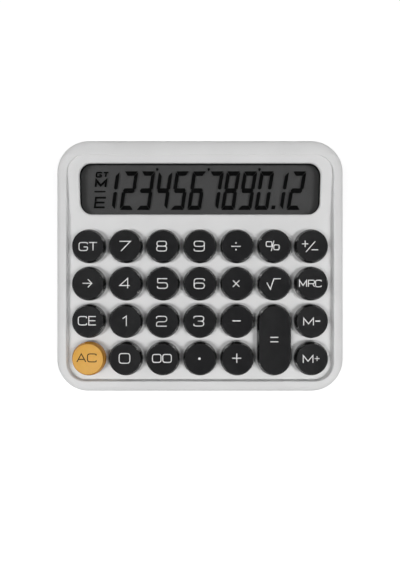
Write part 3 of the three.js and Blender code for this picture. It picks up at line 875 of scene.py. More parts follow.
# Each ledge: how far below the cap's top it lies, and its inner and outer radius.
ledges = [(0.55 * MM, 7.8 * MM, 7.98 * MM), (1.4 * MM, 8.3 * MM, 8.42 * MM)]
skirt_drop = 2.2 * MM
skirt_round = 0.15 * MM
key_travel = press["range_m"][1]
cap_low = key_travel + stop_gap
face_steps = 9


def face_height(radius):
    """Height of the dished face at a distance from its middle."""
    return cap_rise - cap_dish * (1 - (radius / cap_face_radius) ** 2)


def cap_profile():
    """Dished face, two narrow ledges with sloping walls between them, skirt, and the hollow inside."""
    flat = cap_face_radius - edge_round
    face = [(flat * step / face_steps, face_height(flat * step / face_steps)) for step in range(face_steps)]
    edge = arc((flat, face_height(flat) - edge_round), edge_round, edge_round, 90, 0, 4)
    steps = [(radius, cap_rise - drop) for drop, inside, outside in ledges for radius in (inside, outside)]
    steps += [(cap_radius, cap_rise - skirt_drop)]
    skirt = arc((cap_radius - skirt_round, cap_low + skirt_round), skirt_round, skirt_round, 0, -90, 3)
    inner = cap_radius - cap_wall
    roof = cap_rise - cap_roof
    return face + edge + steps + skirt + [(inner, cap_low), (inner, roof), (0, roof)]


# %% Caps with their sleeves
sleeve_wall = 1.3 * MM
hook_reach = 0.9 * MM
hook_height = 1.2 * MM
hook_width = 5.0 * MM
plunger_width = 3.4 * MM
plunger_lift = 0.4 * MM
sleeve_low = box_in("key_5", deck)[0].z
sleeve_high = cap_rise - cap_roof + cap_dish


def cap_solid(bm, reach):
    turned(bm, cap_profile())
    if reach > 0:
        stretch(bm, reach)


def key_mesh(name, reach):
    """A cap on its sleeve; the long one has two sleeves, so far in front of and behind its middle."""
    key = solid("key", cap_solid, reach)
    hook_top = -wall - seat_gap
    for y in sorted({-reach, reach}):
        sleeve = around(0, y, sleeve_width, sleeve_width)
        hooks = around(0, y, sleeve_width + hook_reach * 2, hook_width)
        plunger = around(0, y, plunger_width, plunger_width)
        join(key, prism, sleeve, guide_corner, sleeve_low, sleeve_high)
        join(key, prism, hooks, 0, hook_top - hook_height, hook_top)
        hollow = grown(sleeve, -sleeve_wall)
        cut(key, prism, hollow, guide_corner, sleeve_low - overrun, cap_rise - cap_roof)
        join(key, prism, plunger, 0, sleeve_low + plunger_lift, sleeve_high)
    return mesh_of(key, name)


round_key = key_mesh("round key", 0)
long_reach = key_places["equals"].y - key_places["memory_plus"].y
long_key = key_mesh("long key", long_reach)

# %% [markdown]
# ## Legends
# The lettering is wide, round-cornered and drawn with a pen of one width, so it is built the same way: each
# sign is a few strokes, given as shares of its half width and half height, with its corners rounded or left
# sharp. A stroke becomes a ribbon by extruding its line in place and pushing the two copies apart along the
# mitres. The ribbons follow the dish of the face and stand a hair above it, as printed ink does.

# %% The signs as strokes
Stroke = namedtuple("Stroke", "points soft closed", defaults=(True, False))


def loop(left, right, low, high):
    middle = (left + right) / 2
    return Stroke([(middle, high), (right, high), (right, low), (left, low), (left, high)], True, True)


def line(*points):
    return Stroke(list(points), False)


signs = {
    "0": [loop(-1, 1, -1, 1)],
    "1": [line((-1, 0.5), (0.75, 1), (0.75, -1))],
    "2": [Stroke([(-1, 0.55), (-1, 1), (1, 1), (1, -0.1), (-1, -0.1), (-1, -1)]), line((-1, -1), (1, -1))],
    "3": [Stroke([(-1, 0.55), (-1, 1), (1, 1), (1, 0), (-0.2, 0)]),
          Stroke([(-0.2, 0), (1, 0), (1, -1), (-1, -1), (-1, -0.55)])],
    "4": [line((0.6, -1), (0.6, 1), (-1, -0.45), (1, -0.45))],
    "5": [line((0.95, 1), (-0.95, 1), (-0.95, 0.15)),
          Stroke([(-0.95, 0.15), (1, 0.15), (1, -1), (-1, -1), (-1, -0.55)])],
    "6": [Stroke([(1, 0.55), (1, 1), (-1, 1), (-1, -0.4)]), loop(-1, 1, -1, 0.1)],
    "7": [line((-1, 1), (1, 1), (-0.69, -1))],
    "8": [loop(-0.95, 0.95, 0, 1), loop(-1, 1, -1, 0)],
    "9": [loop(-1, 1, -0.05, 1), Stroke([(1, 0.4), (1, -1), (-1, -1), (-1, -0.55)])],
    "A": [line((-1, -1), (0, 1), (1, -1)), line((-0.66, -0.35), (0.66, -0.35))],
    "C": [Stroke([(1, 0.6), (1, 1), (-1, 1), (-1, -1), (1, -1), (1, -0.6)])],
    "E": [line((1, 1), (-1, 1), (-1, -1), (1, -1)), line((-1, 0), (0.85, 0))],
    "G": [Stroke([(1, 0.6), (1, 1), (-1, 1), (-1, -1), (1, -1), (1, -0.1)]), line((1, -0.1), (0.1, -0.1))],
    "M": [line((-1, -1), (-1, 1), (0, -0.6), (1, 1), (1, -1))],
    "R": [line((-1, -1), (-1, 1), (0, 1)), Stroke([(0, 1), (1, 1), (1, -0.05), (0, -0.05)]),
          line((0, -0.05), (-1, -0.05)), line((0.35, -0.05), (1, -1))],
    "T": [line((-1, 1), (1, 1)), line((0, 1), (0, -1))],
    "minus": [line((-1, 0), (1, 0))],
    "plus": [line((-1, 0), (1, 0)), line((0, -1), (0, 1))],
    "times": [line((-1, -1), (1, 1)), line((-1, 1), (1, -1))],
    "slash": [line((-1, -1), (1, 1))],
    "root": [line((-1, 0.27), (-0.49, -1), (0.03, 1), (1, 1))],
    "arrow": [line((-1, 0), (0.95, 0)), line((0.15, 1), (1, 0), (0.15, -1))],
}

# %% Softened and evened lines
soft_share = 0.62
bend_steps = 6


def softened(stroke, radius):
    """The stroke's points with its corners drawn as curves of about a radius."""
    points = stroke.points
    if not stroke.soft:
        return points
    count = len(points)
    inner = range(1, count) if stroke.closed else range(1, count - 1)
    out = [points[0]]
    for index in inner:
        corner = points[index]
        before, after = points[index - 1], points[(index + 1) % count]
        start = corner + (before - corner).normalized() * min(radius, (before - corner).length / 2)
        end = corner + (after - corner).normalized() * min(radius, (after - corner).length / 2)
        for step in range(bend_steps + 1):
            share = step / bend_steps
            out.append(start.lerp(corner, share).lerp(corner.lerp(end, share), share))
    if not stroke.closed:
        out.append(points[-1])
    return out


def evened(points, closed, reach):
    """The same line with more points, none further apart than reach."""
    pairs = list(zip(points, points[1:] + points[:1] if closed else points[1:]))
    out = []
    for start, end in pairs:
        if (end - start).length < touching:
            continue
        count = max(1, math.ceil((end - start).length / reach))
        out += [start.lerp(end, step / count) for step in range(count)]
    return out if closed else out + [points[-1]]


# %% Ribbons, dots and whole signs
least_slope = 0.35    # keeps the mitre of a very sharp corner short
point_gap = 0.8 * MM    # close enough to follow the dish of a key
dot_sides = 24


def ribbon(bm, points, closed, width, thickness):
    """A flat ribbon along a line: the line is extruded in place, then parted along its mitres."""
    verts = [bm.verts.new((point.x, point.y, 0)) for point in points]
    ends = verts[1:] + verts[:1] if closed else verts[1:]
    edges = [bm.edges.new(pair) for pair in zip(verts, ends)]
    made = bmesh.ops.extrude_edge_only(bm, edges=edges)["geom"]
    fresh = {part for part in made if isinstance(part, bmesh.types.BMVert)}
    count = len(verts)
    for index, vert in enumerate(verts):
        twin = next(edge.other_vert(vert) for edge in vert.link_edges if edge.other_vert(vert) in fresh)
        before = points[index - 1] if closed or index > 0 else None
        after = points[(index + 1) % count] if closed or index + 1 < count else None
        here = points[index]
        ahead = (after - here).normalized() if after is not None else (here - before).normalized()
        behind = (here - before).normalized() if before is not None else ahead
        side = Vector((-(ahead.y + behind.y), ahead.x + behind.x)).normalized()
        slope = max(side.dot(Vector((-ahead.y, ahead.x))), least_slope)
        push = side * (width / 2 / slope)
        vert.co.xy += push
        twin.co.xy -= push
    faces = [part for part in made if isinstance(part, bmesh.types.BMFace)]
    lower = bmesh.ops.extrude_face_region(bm, geom=faces)["geom"]
    lower_verts = [part for part in lower if isinstance(part, bmesh.types.BMVert)]
    bmesh.ops.translate(bm, vec=(0, 0, -thickness), verts=lower_verts)


def dot(bm, x, y, size, thickness):
    where = Matrix.Translation((x, y, -thickness / 2))
    bmesh.ops.create_cone(bm, cap_ends=True, segments=dot_sides, radius1=size / 2, radius2=size / 2,
                          depth=thickness, matrix=where)


def sign_strokes(bm, sign, x, y, width, height, pen, thickness, slant=0.0):
    """Draws one sign, its middle at x and y and its lines as far apart as width and height."""
    half_x, half_y = width / 2, height / 2
    for stroke in signs[sign]:
        points = [
            Vector((x + share_x * half_x + share_y * half_y * slant, y + share_y * half_y))
            for share_x, share_y in stroke.points
        ]
        placed = Stroke(points, stroke.soft, stroke.closed)
        bent = softened(placed, soft_share * min(half_x, half_y))
        ribbon(bm, evened(bent, stroke.closed, point_gap), stroke.closed, pen, thickness)


def draw_marks(bm, marks, thickness, slant=0.0):
    """Draws a row of signs, whose places and sizes are given in millimetres."""
    for sign, *sizes in marks:
        x, y, width, height, weight = (size * MM for size in sizes)
        if sign == "dot":
            dot(bm, x, y, width, thickness)
        else:
            sign_strokes(bm, sign, x, y, width, height, weight, thickness, slant)


# %% [markdown]
# ### What each key says
# Every legend is a row of signs: which sign, where its middle lies from the middle of the key, and how wide
# and high its lines are, all in millimetres. The legends sit a little off centre on the real keys, so their
# places are written as they are and not centred by a rule.

# %% Legends of the keys, in millimetres
pen = 0.46
fine_pen = 0.34
thin_pen = 0.42
heavy_pen = 0.52
broad_pen = 0.62
legends = {
    "grand_total": [("G", -2.4, -0.3, 4.25, 4.1, pen), ("T", 2.6, -0.3, 4.05, 4.1, pen)],
    "7": [("7", -0.2, -0.1, 5.5, 4.9, pen)],
    "8": [("8", -0.5, -0.1, 5.1, 5, pen)],
    "9": [("9", -0.4, -0.1, 5.2, 5, pen)],
    "divide": [("minus", -0.7, -0.2, 4.8, 0, thin_pen), ("dot", -0.7, 1.55, 0.8, 0, pen),
               ("dot", -0.7, -1.9, 0.8, 0, pen)],
    "percent": [("0", -2.9, 0.95, 2.95, 2.45, pen), ("0", 0.9, -0.7, 2.7, 2.45, pen),
                ("slash", -1.1, 0, 1.4, 5.35, pen)],
    "sign": [("plus", -3.55, 1.05, 3.3, 3.3, pen), ("slash", -0.75, -0.35, 4.7, 5.45, pen),
             ("minus", 1.4, -1.95, 3.3, 0, pen)],
    "backspace": [("arrow", -0.4, 0.2, 4.75, 4.1, pen)],
    "4": [("4", -0.3, 0.2, 5.05, 5.1, pen)],
    "5": [("5", -0.1, 0.1, 5.1, 4.9, pen)],
    "6": [("6", -0.4, 0.05, 5.2, 5, pen)],
    "multiply": [("times", -0.6, 0.05, 3.25, 3.25, pen)],
    "square_root": [("root", -0.5, -0.15, 7.05, 5.3, pen)],
    "memory_recall": [("M", -4.65, 0.1, 3.7, 3.35, pen), ("R", -0.3, 0.1, 3.1, 3.35, pen),
                      ("C", 3.2, 0.1, 2.85, 3.35, pen)],
    "clear_entry": [("C", -2.8, 0.35, 4.15, 4.3, pen), ("E", 2.25, 0.35, 3.65, 4.3, pen)],
    "1": [("1", -0.3, 0.15, 2.15, 5.1, pen)],
    "2": [("2", -0.5, 0.1, 5.2, 5, pen)],
    "3": [("3", -0.6, 0.15, 5, 5, pen)],
    "minus": [("minus", -0.35, 0.3, 4.3, 0, heavy_pen)],
    "memory_minus": [("M", -1.8, -0.15, 5, 3.75, pen), ("minus", 2.9, 0.15, 2.35, 0, broad_pen)],
    "equals": [("minus", -0.2, 1.5, 4.1, 0, heavy_pen), ("minus", -0.2, -0.75, 4.1, 0, heavy_pen)],
    "all_clear": [("A", -3.35, 0.65, 4.45, 4.15, heavy_pen), ("C", 2, 0.65, 4.45, 4.05, heavy_pen)],
    "0": [("0", -0.4, 0.4, 5.45, 4.95, pen)],
    "00": [("0", -3, 0.4, 4.35, 4.05, pen), ("0", 2.25, 0.4, 4.35, 4.05, pen)],
    "point": [("dot", -0.3, 0.25, 1.3, 0, pen)],
    "plus": [("plus", -0.3, 0.5, 4.6, 4.65, heavy_pen)],
    "memory_plus": [("M", -2.05, 0.05, 5, 3.75, pen), ("plus", 2.55, 0.3, 2.45, 2.45, fine_pen)],
}

# %% Build the 27 keys
ink_proud = 0.025 * MM
ink_depth = 0.09 * MM


def off_axis(point, reach):
    return math.hypot(point.x, max(0.0, abs(point.y) - reach))


def painted(bm, before, index):
    """Gives the faces added after the first ones a material of their own; returns them."""
    bm.faces.ensure_lookup_table()
    faces = bm.faces[before:]
    for face in faces:
        face.material_index = index
    return faces


def print_legend(bm, marks, reach):
    """Adds a legend to a key's bmesh, laid on the dished face, with the ink's material."""
    before = len(bm.faces)
    first = len(bm.verts)
    draw_marks(bm, marks, ink_depth)
    bm.verts.ensure_lookup_table()
    for vert in bm.verts[first:]:
        vert.co.z += face_height(off_axis(vert.co, reach)) + ink_proud
    bmesh.ops.recalc_face_normals(bm, faces=painted(bm, before, 1))


def make_key(name):
    reach = long_reach if name == "equals" else 0
    bm = bmesh.new()
    bm.from_mesh(long_key if reach else round_key)
    # Faces beyond the key's face take the darker side material, which paints shade onto the cap's walls.
    for face in bm.faces:
        if off_axis(face.calc_center_median(), reach) > cap_face_radius - edge_round / 2:
            face.material_index = 2
    print_legend(bm, legends[name], reach)
    place = key_places[name]
    bmesh.ops.transform(bm, matrix=deck @ Matrix.Translation((place.x, place.y, 0)), verts=bm.verts)
    key = object_from(bm, name + "_cap")
    amber = name == "all_clear"
    return finish(
        key, name + "_key", ["key_" + name],
        [amber_abs, brown_ink, amber_side_shade_gloss] if amber else [key_abs, pale_ink, key_side_shade_gloss],
    )


for name in key_places:
    make_key(name)

# %% [markdown]
# ## Display
# A liquid crystal display is a stack: a clear pane in the window, a black holder, two glass plates with the
# liquid crystal between them, and a grey rear film that throws the room's light back. The digits are dark
# because the crystal blocks that light, and each one drops a soft shadow on the film behind it, which a
# flat printed digit would not have. So the digits are thin solids between clear glass and a matt film.

# %% Materials of the display
# The pane and the glass let nearly all light through, so they only add a faint sheen. The film is dull and
# even, the crystal nearly black, and the holder dark enough to read as a gap round the display.
pmma_ior = 1.49
glass_ior = 1.5
pane_haze = 0.08
glass_haze = 0.04
pane_pmma = moulded(
    "clear PMMA pane", ("#1c1d1d", "#222323"), patch=12 * MM, grain=0.4 * MM,
    height=0.0005 * MM, roughness=(0.04, 0.08), IOR=pmma_ior, Alpha=pane_haze,
)
plate_glass = moulded(
    "soda lime glass, anti-glare", ("#161717", "#1a1b1b"), patch=12 * MM, grain=0.3 * MM,
    height=0.0005 * MM, roughness=(0.1, 0.2), IOR=glass_ior, Alpha=glass_haze,
)
rear_film = moulded(
    "matt grey polariser film", ("#5c5c5c", "#5e5e5e"), patch=9 * MM, grain=0.3 * MM,
    height=0.002 * MM, roughness=(0.75, 0.85), IOR=1.5, Specular_IOR_Level=0.1,
)
crystal_black = moulded(
    "darkened liquid crystal", ("#050505", "#070707"), patch=4 * MM, grain=0.4 * MM,
    height=0.001 * MM, roughness=(0.6, 0.7), IOR=1.5, Specular_IOR_Level=0.05,
)
holder_abs = moulded(
    "matt black ABS", ("#111111", "#151515"), patch=6 * MM, grain=0.3 * MM,
    height=0.01 * MM, roughness=(0.55, 0.65), IOR=abs_ior, Specular_IOR_Level=satin_level,
)

# %% Pane, holder and plates
pane_plan = plan_of("display_window", display)
pane_bottom, pane_top = (corner.z for corner in box_in("display_window", display))
glass_plan = plan_of("display_glass", display)
glass_bottom, glass_top = (corner.z for corner in box_in("display_glass", display))
holder_plan = plan_of("display_holder", display)
holder_top = box_in("display_holder", display)[1].z
glass_step = 2.4 * MM
glass_corner = 0.4 * MM
holder_corner = 1.2 * MM
holder_depth = 20 * MM
through = 25 * MM
far_below = 40 * MM
crystal_z = (glass_top + glass_bottom) / 2
film_gap = 0.02 * MM
film_thickness = 0.12 * MM
show_back = 0.1 * MM
show_side = 0.1 * MM
show_front = 0.3 * MM
rear_plan = Plan(glass_plan.left, glass_plan.right, glass_plan.front + glass_step, glass_plan.back)
sight = Plan(window.left + show_side, window.right - show_side, window.front + show_front,
             window.back - show_back)

pane_piece = solid("display_pane", prism, pane_plan, window_radius + pane_overlap, pane_bottom, pane_top,
                   display, corner_steps)
finish(pane_piece, "case", ["display_window"], [pane_pmma], broken=0.15 * MM)

holder = solid("display_frame", prism, holder_plan, holder_corner, -holder_depth, holder_top, display)
cut(holder, prism, grown(glass_plan, seat_gap), 0, -through, glass_top + seat_gap, display)
cut(holder, prism, sight, window_radius - show_side, -through, overrun, display, corner_steps)
under_board = Plan(case.left, case.right, case.front, case.back + overrun)
cut(holder, prism, under_board, 0, -far_below, board_top + seat_gap, deck)
finish(holder, "case", ["display_holder"], [holder_abs], broken=0.1 * MM)

# %% [markdown]
# ### Digits and indicators
# Each digit is seven bars between two rectangles, mitred at the corners and pointed at the waist, and the
# whole digit leans to the right. One bar is a face of a few points, extruded to a thin solid. The places of
# the digits are written one by one, because a "1" stands a little further left in its field. Small strokes
# at the left are the indicators for the grand total, the memory, a negative number and an error.

# %% Shapes of the seven bars, in millimetres
digit_width = 7.2
digit_height = 20.3
upright_width = 1.9
bar_height = 2.3
waist_height = 2.5
mitre_gap = 0.12
top_inset = 0.2
shoulder = [(-0.12, -0.5), (0, -0.8)]    # from the digit's upper corner
foot_outer = 1.0
foot_tip = 0.55
foot_inner = (0.05, 1.25)
waist_inset = 0.42
waist_taper = 0.8
lean_share = 0.154
field_middle = -0.12


def flipped(points, across, along):
    return [(across * x, along * y) for x, y in points]


def seven_bars():
    """The points of each bar, from the middle of the digit; the lower half mirrors the upper."""
    x, y = digit_width / 2, digit_height / 2
    inner_x, inner_y = x - upright_width, y - bar_height
    top = [(top_inset - x, y), (x - top_inset, y), (inner_x, inner_y), (-inner_x, inner_y)]
    right = [(x + across, y + along) for across, along in shoulder]
    right += [(x, foot_outer), (x - upright_width / 2, foot_tip), (inner_x + foot_inner[0], foot_inner[1]),
              (inner_x + mitre_gap, inner_y - mitre_gap)]
    reach, half = x - waist_inset, waist_height / 2
    taper = reach - waist_taper
    waist = [(-reach, 0), (-taper, half), (taper, half), (reach, 0), (taper, -half), (-taper, -half)]
    return {
        "a": top, "b": right, "c": flipped(right, 1, -1), "d": flipped(top, 1, -1),
        "e": flipped(right, -1, -1), "f": flipped(right, -1, 1), "g": waist,
    }


lit_bars = {"0": "abcdef", "1": "bc", "2": "abdeg", "3": "abcdg", "4": "bcfg", "5": "acdfg",
            "6": "acdefg", "7": "abc", "8": "abcdefg", "9": "abcdfg"}
digit_row = [("1", -47.9), ("2", -38.07), ("3", -28.99), ("4", -19.75), ("5", -10.76), ("6", -1.67),
             ("7", 7.56), ("8", 16.42), ("9", 25.41), ("0", 34.4), ("1", 42.34), ("2", 51.63)]
comma_places = [(-22.8, 11.0), (4.6, 11.0), (31.65, 11.0)]
comma_shape = [(-0.15, -1.0), (-0.65, 0.35), (-0.45, 0.8), (0.1, 0.95), (0.6, 0.65), (0.7, 0.1)]
point_places = [(39.4, -8.8)]
point_shape = [(-1.15, -1.0), (0.85, -1.0), (1.15, 1.0), (-0.85, 1.0)]
indicators = [("G", -53.9, 8.26, 2.65, 2.25, 0.78), ("T", -50.19, 8.26, 2.45, 2.25, 0.78),
              ("M", -52.95, 3.62, 5.3, 3.5, 1.06), ("minus", -53.55, -0.61, 5.9, 0, 0.78),
              ("E", -53.45, -6.35, 5.3, 5.1, 0.98)]

# %% Digits, indicators and films on the plates
crystal_depth = 0.06 * MM


def blade(bm, points, low, high):
    """A thin solid with the outline of these points."""
    face = bm.faces.new([bm.verts.new((x, y, low)) for x, y in points])
    upper = bmesh.ops.extrude_face_region(bm, geom=[face])["geom"]
    verts = [part for part in upper if isinstance(part, bmesh.types.BMVert)]
    bmesh.ops.translate(bm, vec=(0, 0, high - low), verts=verts)


def digits(bm):
    bars = seven_bars()
    for sign, middle in digit_row:
        for bar in lit_bars[sign]:
            points = [((middle + x + y * lean_share) * MM, (field_middle + y) * MM) for x, y in bars[bar]]
            blade(bm, points, 0, crystal_depth)
    for places, shape in ((comma_places, comma_shape), (point_places, point_shape)):
        for x, y in places:
            points = [((x + across) * MM, (field_middle + y + along) * MM) for across, along in shape]
            blade(bm, points, 0, crystal_depth)


def add_marks(bm):
    """Adds the digits and indicators, which lie on the rear plate, with the crystal's material."""
    before = len(bm.faces)
    first = len(bm.verts)
    digits(bm)
    draw_marks(bm, indicators, crystal_depth, lean_share)
    bm.verts.ensure_lookup_table()
    lift = display @ Matrix.Translation((0, 0, crystal_z - crystal_depth))
    bmesh.ops.transform(bm, matrix=lift, verts=bm.verts[first:])
    bmesh.ops.recalc_face_normals(bm, faces=painted(bm, before, 1))


def add_films(bm):
    """Adds the film behind the plates and the mask along their front ledge."""
    before = len(bm.faces)
    film_top = glass_bottom - film_gap
    prism(bm, rear_plan, glass_corner, film_top - film_thickness, film_top, display)
    ledge_front = glass_plan.front + film_gap
    ledge = Plan(glass_plan.left, glass_plan.right, ledge_front, rear_plan.front - film_gap)
    mask_top = crystal_z - film_gap
    prism(bm, ledge, 0, mask_top - film_thickness, mask_top, display)
    painted(bm, before, 2)


# %% Build the display plates
glass = solid("plates", prism, glass_plan, glass_corner, crystal_z, glass_top, display)
join(glass, prism, rear_plan, glass_corner, glass_bottom, crystal_z + film_gap, display)
bevelled(glass, width=0.12 * MM, steps=1)
bm = bmesh.new()
bm.from_mesh(mesh_of(glass, "display plates"))
add_marks(bm)
add_films(bm)
glass = object_from(bm, "display_plates")
finish(glass, "case", ["display_glass"], [plate_glass, crystal_black, rear_film])

# %% [markdown]
# ## Feet and screws
# The calculator stands on four rubber feet, and screws hold its two halves and its board. Both are turned
# things, so their profiles are spun like the caps. A foot has a rounded edge and a shallow dish, which is
# how a moulded rubber foot grips. A screw's thread is a small triangle spun round the shank while it climbs,
# which one spin with a rise per step makes, and the cross recess is cut with two tapered blades.

# %% Rubber feet
# Rubber is dull and dark, and its worn skin scatters what little it reflects.
rubber_foot = moulded(
    "moulded rubber, dark grey", ("#2b2b2c", "#343435"), patch=3 * MM, grain=0.22 * MM,
    height=0.02 * MM, roughness=(0.7, 0.85), IOR=1.52, Specular_IOR_Level=0.35,
)
foot_height = 2.0 * MM
foot_edge = 0.6 * MM
foot_dish = 0.3 * MM
foot_ring = 3.2 * MM


def foot_profile():
    radius = foot_radius_low
    dish = [(0, foot_dish), (foot_ring - foot_dish, foot_dish)]
    lip = arc((foot_ring, foot_dish), foot_dish, foot_dish, 180, 270, 4)
    edge = arc((radius - foot_edge, foot_edge), foot_edge, foot_edge, -90, 0, 6)
    return dish + lip + edge + [(radius, foot_height), (0, foot_height)]


def spun_at(profile, matrix, name, sides=spun_sides):
    bm = bmesh.new()
    turned(bm, profile, sides)
    bmesh.ops.transform(bm, matrix=matrix, verts=bm.verts)
    return object_from(bm, name)


for number, place in enumerate(foot_places, 1):
    where = Matrix.Translation((place.x, place.y, 0))
    foot = spun_at(foot_profile(), where, f"rubber_foot_{number}")
    finish(foot, "case", [f"foot_{number}"], [rubber_foot])

# %% Screws with cross recess and thread
# Tumbled zinc plating is bright but blurred, and a little uneven from screw to screw.
zinc_steel = moulded(
    "zinc-plated steel, tumbled", ("#b9bcc0", "#cfd1d3"), patch=2 * MM, grain=0.15 * MM,
    height=0.01 * MM, roughness=(0.28, 0.42), Metallic=1.0,
)
thread_pitch = 1.0 * MM
thread_depth = 0.28 * MM
thread_sides = 24
recess_width = 0.55 * MM
recess_share = 0.62
recess_depth = 0.95 * MM
point_length = 1.2 * MM
edge_part = 2.5    # how many radii of its edge the head is high
thread_share = 0.32    # half of the thread's foot, as a share of its pitch
tip_share = 0.7    # width of the driver's tip at its end
screw_turn = 0.7    # radians by which each screw is turned further than the one before


def screw_profile(head_radius, head_height, shank, length):
    """Head below zero, shank above it, and a blunt point."""
    edge = head_height / edge_part
    core = shank - thread_depth
    head = [(0, -head_height)] + arc((head_radius - edge, -head_height + edge), edge, edge, -90, 0, 6)
    point = [(core, length - point_length), (core / 3, length), (0, length)]
    return head + [(head_radius, 0), (core, 0)] + point


def thread(bm, shank, length):
    """A triangle spun round the shank while it climbs."""
    core = shank - thread_depth
    half = thread_pitch * thread_share
    corners = [(core - thread_depth / 2, -half), (core - thread_depth / 2, half), (shank, 0)]
    start = [bm.verts.new((radius, 0, z + half)) for radius, z in corners]
    face = bm.faces.new(start)
    turns = int((length - point_length - 2 * half) / thread_pitch)
    steps = turns * thread_sides
    bmesh.ops.spin(bm, geom=[face] + list(face.edges) + start, cent=(0, 0, 0), axis=(0, 0, 1),
                   angle=turns * 2 * math.pi, steps=steps, dvec=(0, 0, thread_pitch / thread_sides))
    bmesh.ops.holes_fill(bm, edges=[edge for edge in bm.edges if edge.is_boundary])
    bmesh.ops.recalc_face_normals(bm, faces=bm.faces)


def tip_blade(bm, turn, head_radius, head_height):
    """One blade of the driver's tip, narrower at its end."""
    reach = head_radius * recess_share
    place = Matrix.Rotation(turn, 4, "Z")
    wide = around(0, 0, 2 * reach, recess_width)
    tight = around(0, 0, reach, recess_width * tip_share)
    loft(bm, [
        add_plate(bm, wide, 0, -head_height - MM / 2, place),
        add_plate(bm, wide, 0, -head_height, place),
        add_plate(bm, tight, 0, -head_height + recess_depth, place),
    ])


def screw_mesh(name, head_radius, head_height, shank, length):
    screw = spun_at(screw_profile(head_radius, head_height, shank, length), Matrix(), name)
    join(screw, thread, shank, length)
    for turn in (0, math.pi / 2):
        cut(screw, tip_blade, turn, head_radius, head_height)
    return mesh_of(screw, name)


# %% Make and place the ten screws
board_head_radius = 1.9 * MM
board_head_height = 1.2 * MM
case_screw = screw_mesh("case screw", case_head_radius, case_head_height, case_shank, case_length)
board_screw = screw_mesh("board screw", board_head_radius, board_head_height, board_shank, board_length)
for kind, mesh, places, height in (("case", case_screw, case_screws, case_head_height),
                                   ("board", board_screw, board_screws, board_head_height)):
    for number, place in enumerate(places, 1):
        bm = bmesh.new()
        turn = Matrix.Rotation(number * screw_turn, 4, "Z")
        add_copy(bm, mesh, deck @ Matrix.Translation((place.x, place.y, place.z + height)) @ turn)
        screw = object_from(bm, f"{kind}_screw_turned_{number}")
        finish(screw, "case", [f"{kind}_screw_{number}"], [zinc_steel])

# %% [markdown]
# ## Battery and its contacts
# The cell is a drawn steel can in a printed sleeve whose ends are rolled over its edges, with the raised nub
# of the positive end to the right. Its profile is spun once, lying along x. The sleeve is left plain, in two
# tones with no words. The contacts are leaves of nickel-plated steel: one carries a cone of spring wire, laid
# as a curve that is given the wire's thickness and then made a mesh, the other a pressed button.

# %% Battery cell
cell_middle = middle_in("battery_cell", table_frame)
cell_length = cell_high.x - cell_low.x
nub_length = 1.2 * MM
nub_radius = 1.9 * MM
crimp_round = 0.45 * MM
crimp_width = 0.9 * MM
end_recess = 0.35 * MM
sleeve_tones = ("#26282b", "#a5642c")
sleeve_split = 30.0 * MM
pvc_ior = 1.53
print_grain = 0.4 * MM
print_blur = 0.02 * MM
can_share = 0.8    # how much of the crimp's width the sleeve covers


def cell_profile():
    """From the flat end to the nub, along the axis."""
    body = cell_length - nub_length
    can = cell_radius - crimp_width
    low = arc((cell_radius - crimp_round, crimp_round), crimp_round, crimp_round, -90, 0, 5)
    high = arc((cell_radius - crimp_round, body - crimp_round), crimp_round, crimp_round, 0, 90, 5)
    nub = arc((nub_radius - crimp_round, cell_length - crimp_round), crimp_round, crimp_round, 0, 90, 4)
    start = [(0, 0), (can - end_recess * 2, 0), (can - end_recess, end_recess), (can, end_recess)]
    step = [(can, body - end_recess), (nub_radius, body - end_recess)]
    return start + low + high + step + nub + [(0, cell_length)]


def sleeve_finish():
    """Shrunk PVC sleeve: smooth and glossy, in two plain tones that change at one place along the cell."""
    material, tree, shader, place = new_material("printed PVC sleeve", IOR=pvc_ior)
    grained(tree, shader, place, size=0.3 * MM, height=0.006 * MM, roughness=(0.22, 0.34))
    along = add(tree, "SeparateXYZ", {"Vector": place})
    speckle = add(tree, "TexNoise", {"Vector": place, "Scale": per(print_grain), "Detail": patch_detail})
    shift = add(tree, "MapRange", {"Value": speckle.outputs["Fac"], "To Min": -print_blur,
                                   "To Max": print_blur})
    edge = add(tree, "Math", {0: along.outputs["X"], 1: shift.outputs["Result"]}, operation="ADD")
    beyond = add(tree, "Math", {0: edge.outputs["Value"], 1: cell_low.x + sleeve_split},
                 operation="GREATER_THAN")
    tones = add(tree, "ValToRGB", {"Fac": beyond.outputs["Value"]})
    two_tones(tones.color_ramp, sleeve_tones)
    tree.links.new(tones.outputs["Color"], shader.inputs["Base Color"])
    return material


# %% Build the cell
# Nickel plating is a warm, fairly sharp mirror.
nickel_steel = moulded(
    "nickel-plated steel", ("#c3c0b9", "#d6d3cc"), patch=2.5 * MM, grain=0.12 * MM,
    height=0.006 * MM, roughness=(0.2, 0.34), Metallic=1.0,
)
lying = Matrix.Translation((cell_low.x, cell_middle.y, cell_middle.z)) @ Matrix.Rotation(math.pi / 2, 4, "Y")
cell = spun_at(cell_profile(), lying, "dry_cell", cap_sides)
can_radius = cell_radius - crimp_width * can_share
for face in cell.data.polygons:
    middle = face.center
    face.material_index = int(math.hypot(middle.y - cell_middle.y, middle.z - cell_middle.z) < can_radius)
finish(cell, "case", ["battery_cell"], [sleeve_finish(), nickel_steel])

# %% Spring and plate contacts
leaf_thickness = 0.4 * MM
spring_wire = 0.33 * MM
spring_turns = 3
spring_wide = 0.75 * cell_radius
spring_narrow = 0.375 * cell_radius
spring_length = 1.9 * MM
coil_steps = 32
button_radius = 2.2 * MM
button_height = 0.22 * MM


def contact_from(node, name):
    low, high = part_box(node)
    left = low.x if node == "spring_contact" else high.x - leaf_thickness
    parts = []
    for half, top in ((contact_width / 2, bay_top - seat_gap), (contact_width / 4, high.z + overrun)):
        plan = Plan(left, left + leaf_thickness, cell_middle.y - half, cell_middle.y + half)
        parts.append(solid(name, prism, plan, 0, low.z, top))
    contact = combine(parts[0], parts[1], "UNION")
    tab_top = box_in(node, deck)[1].z
    return cut(contact, prism, case, 0, tab_top, tab_top + 4 * overrun, deck), left


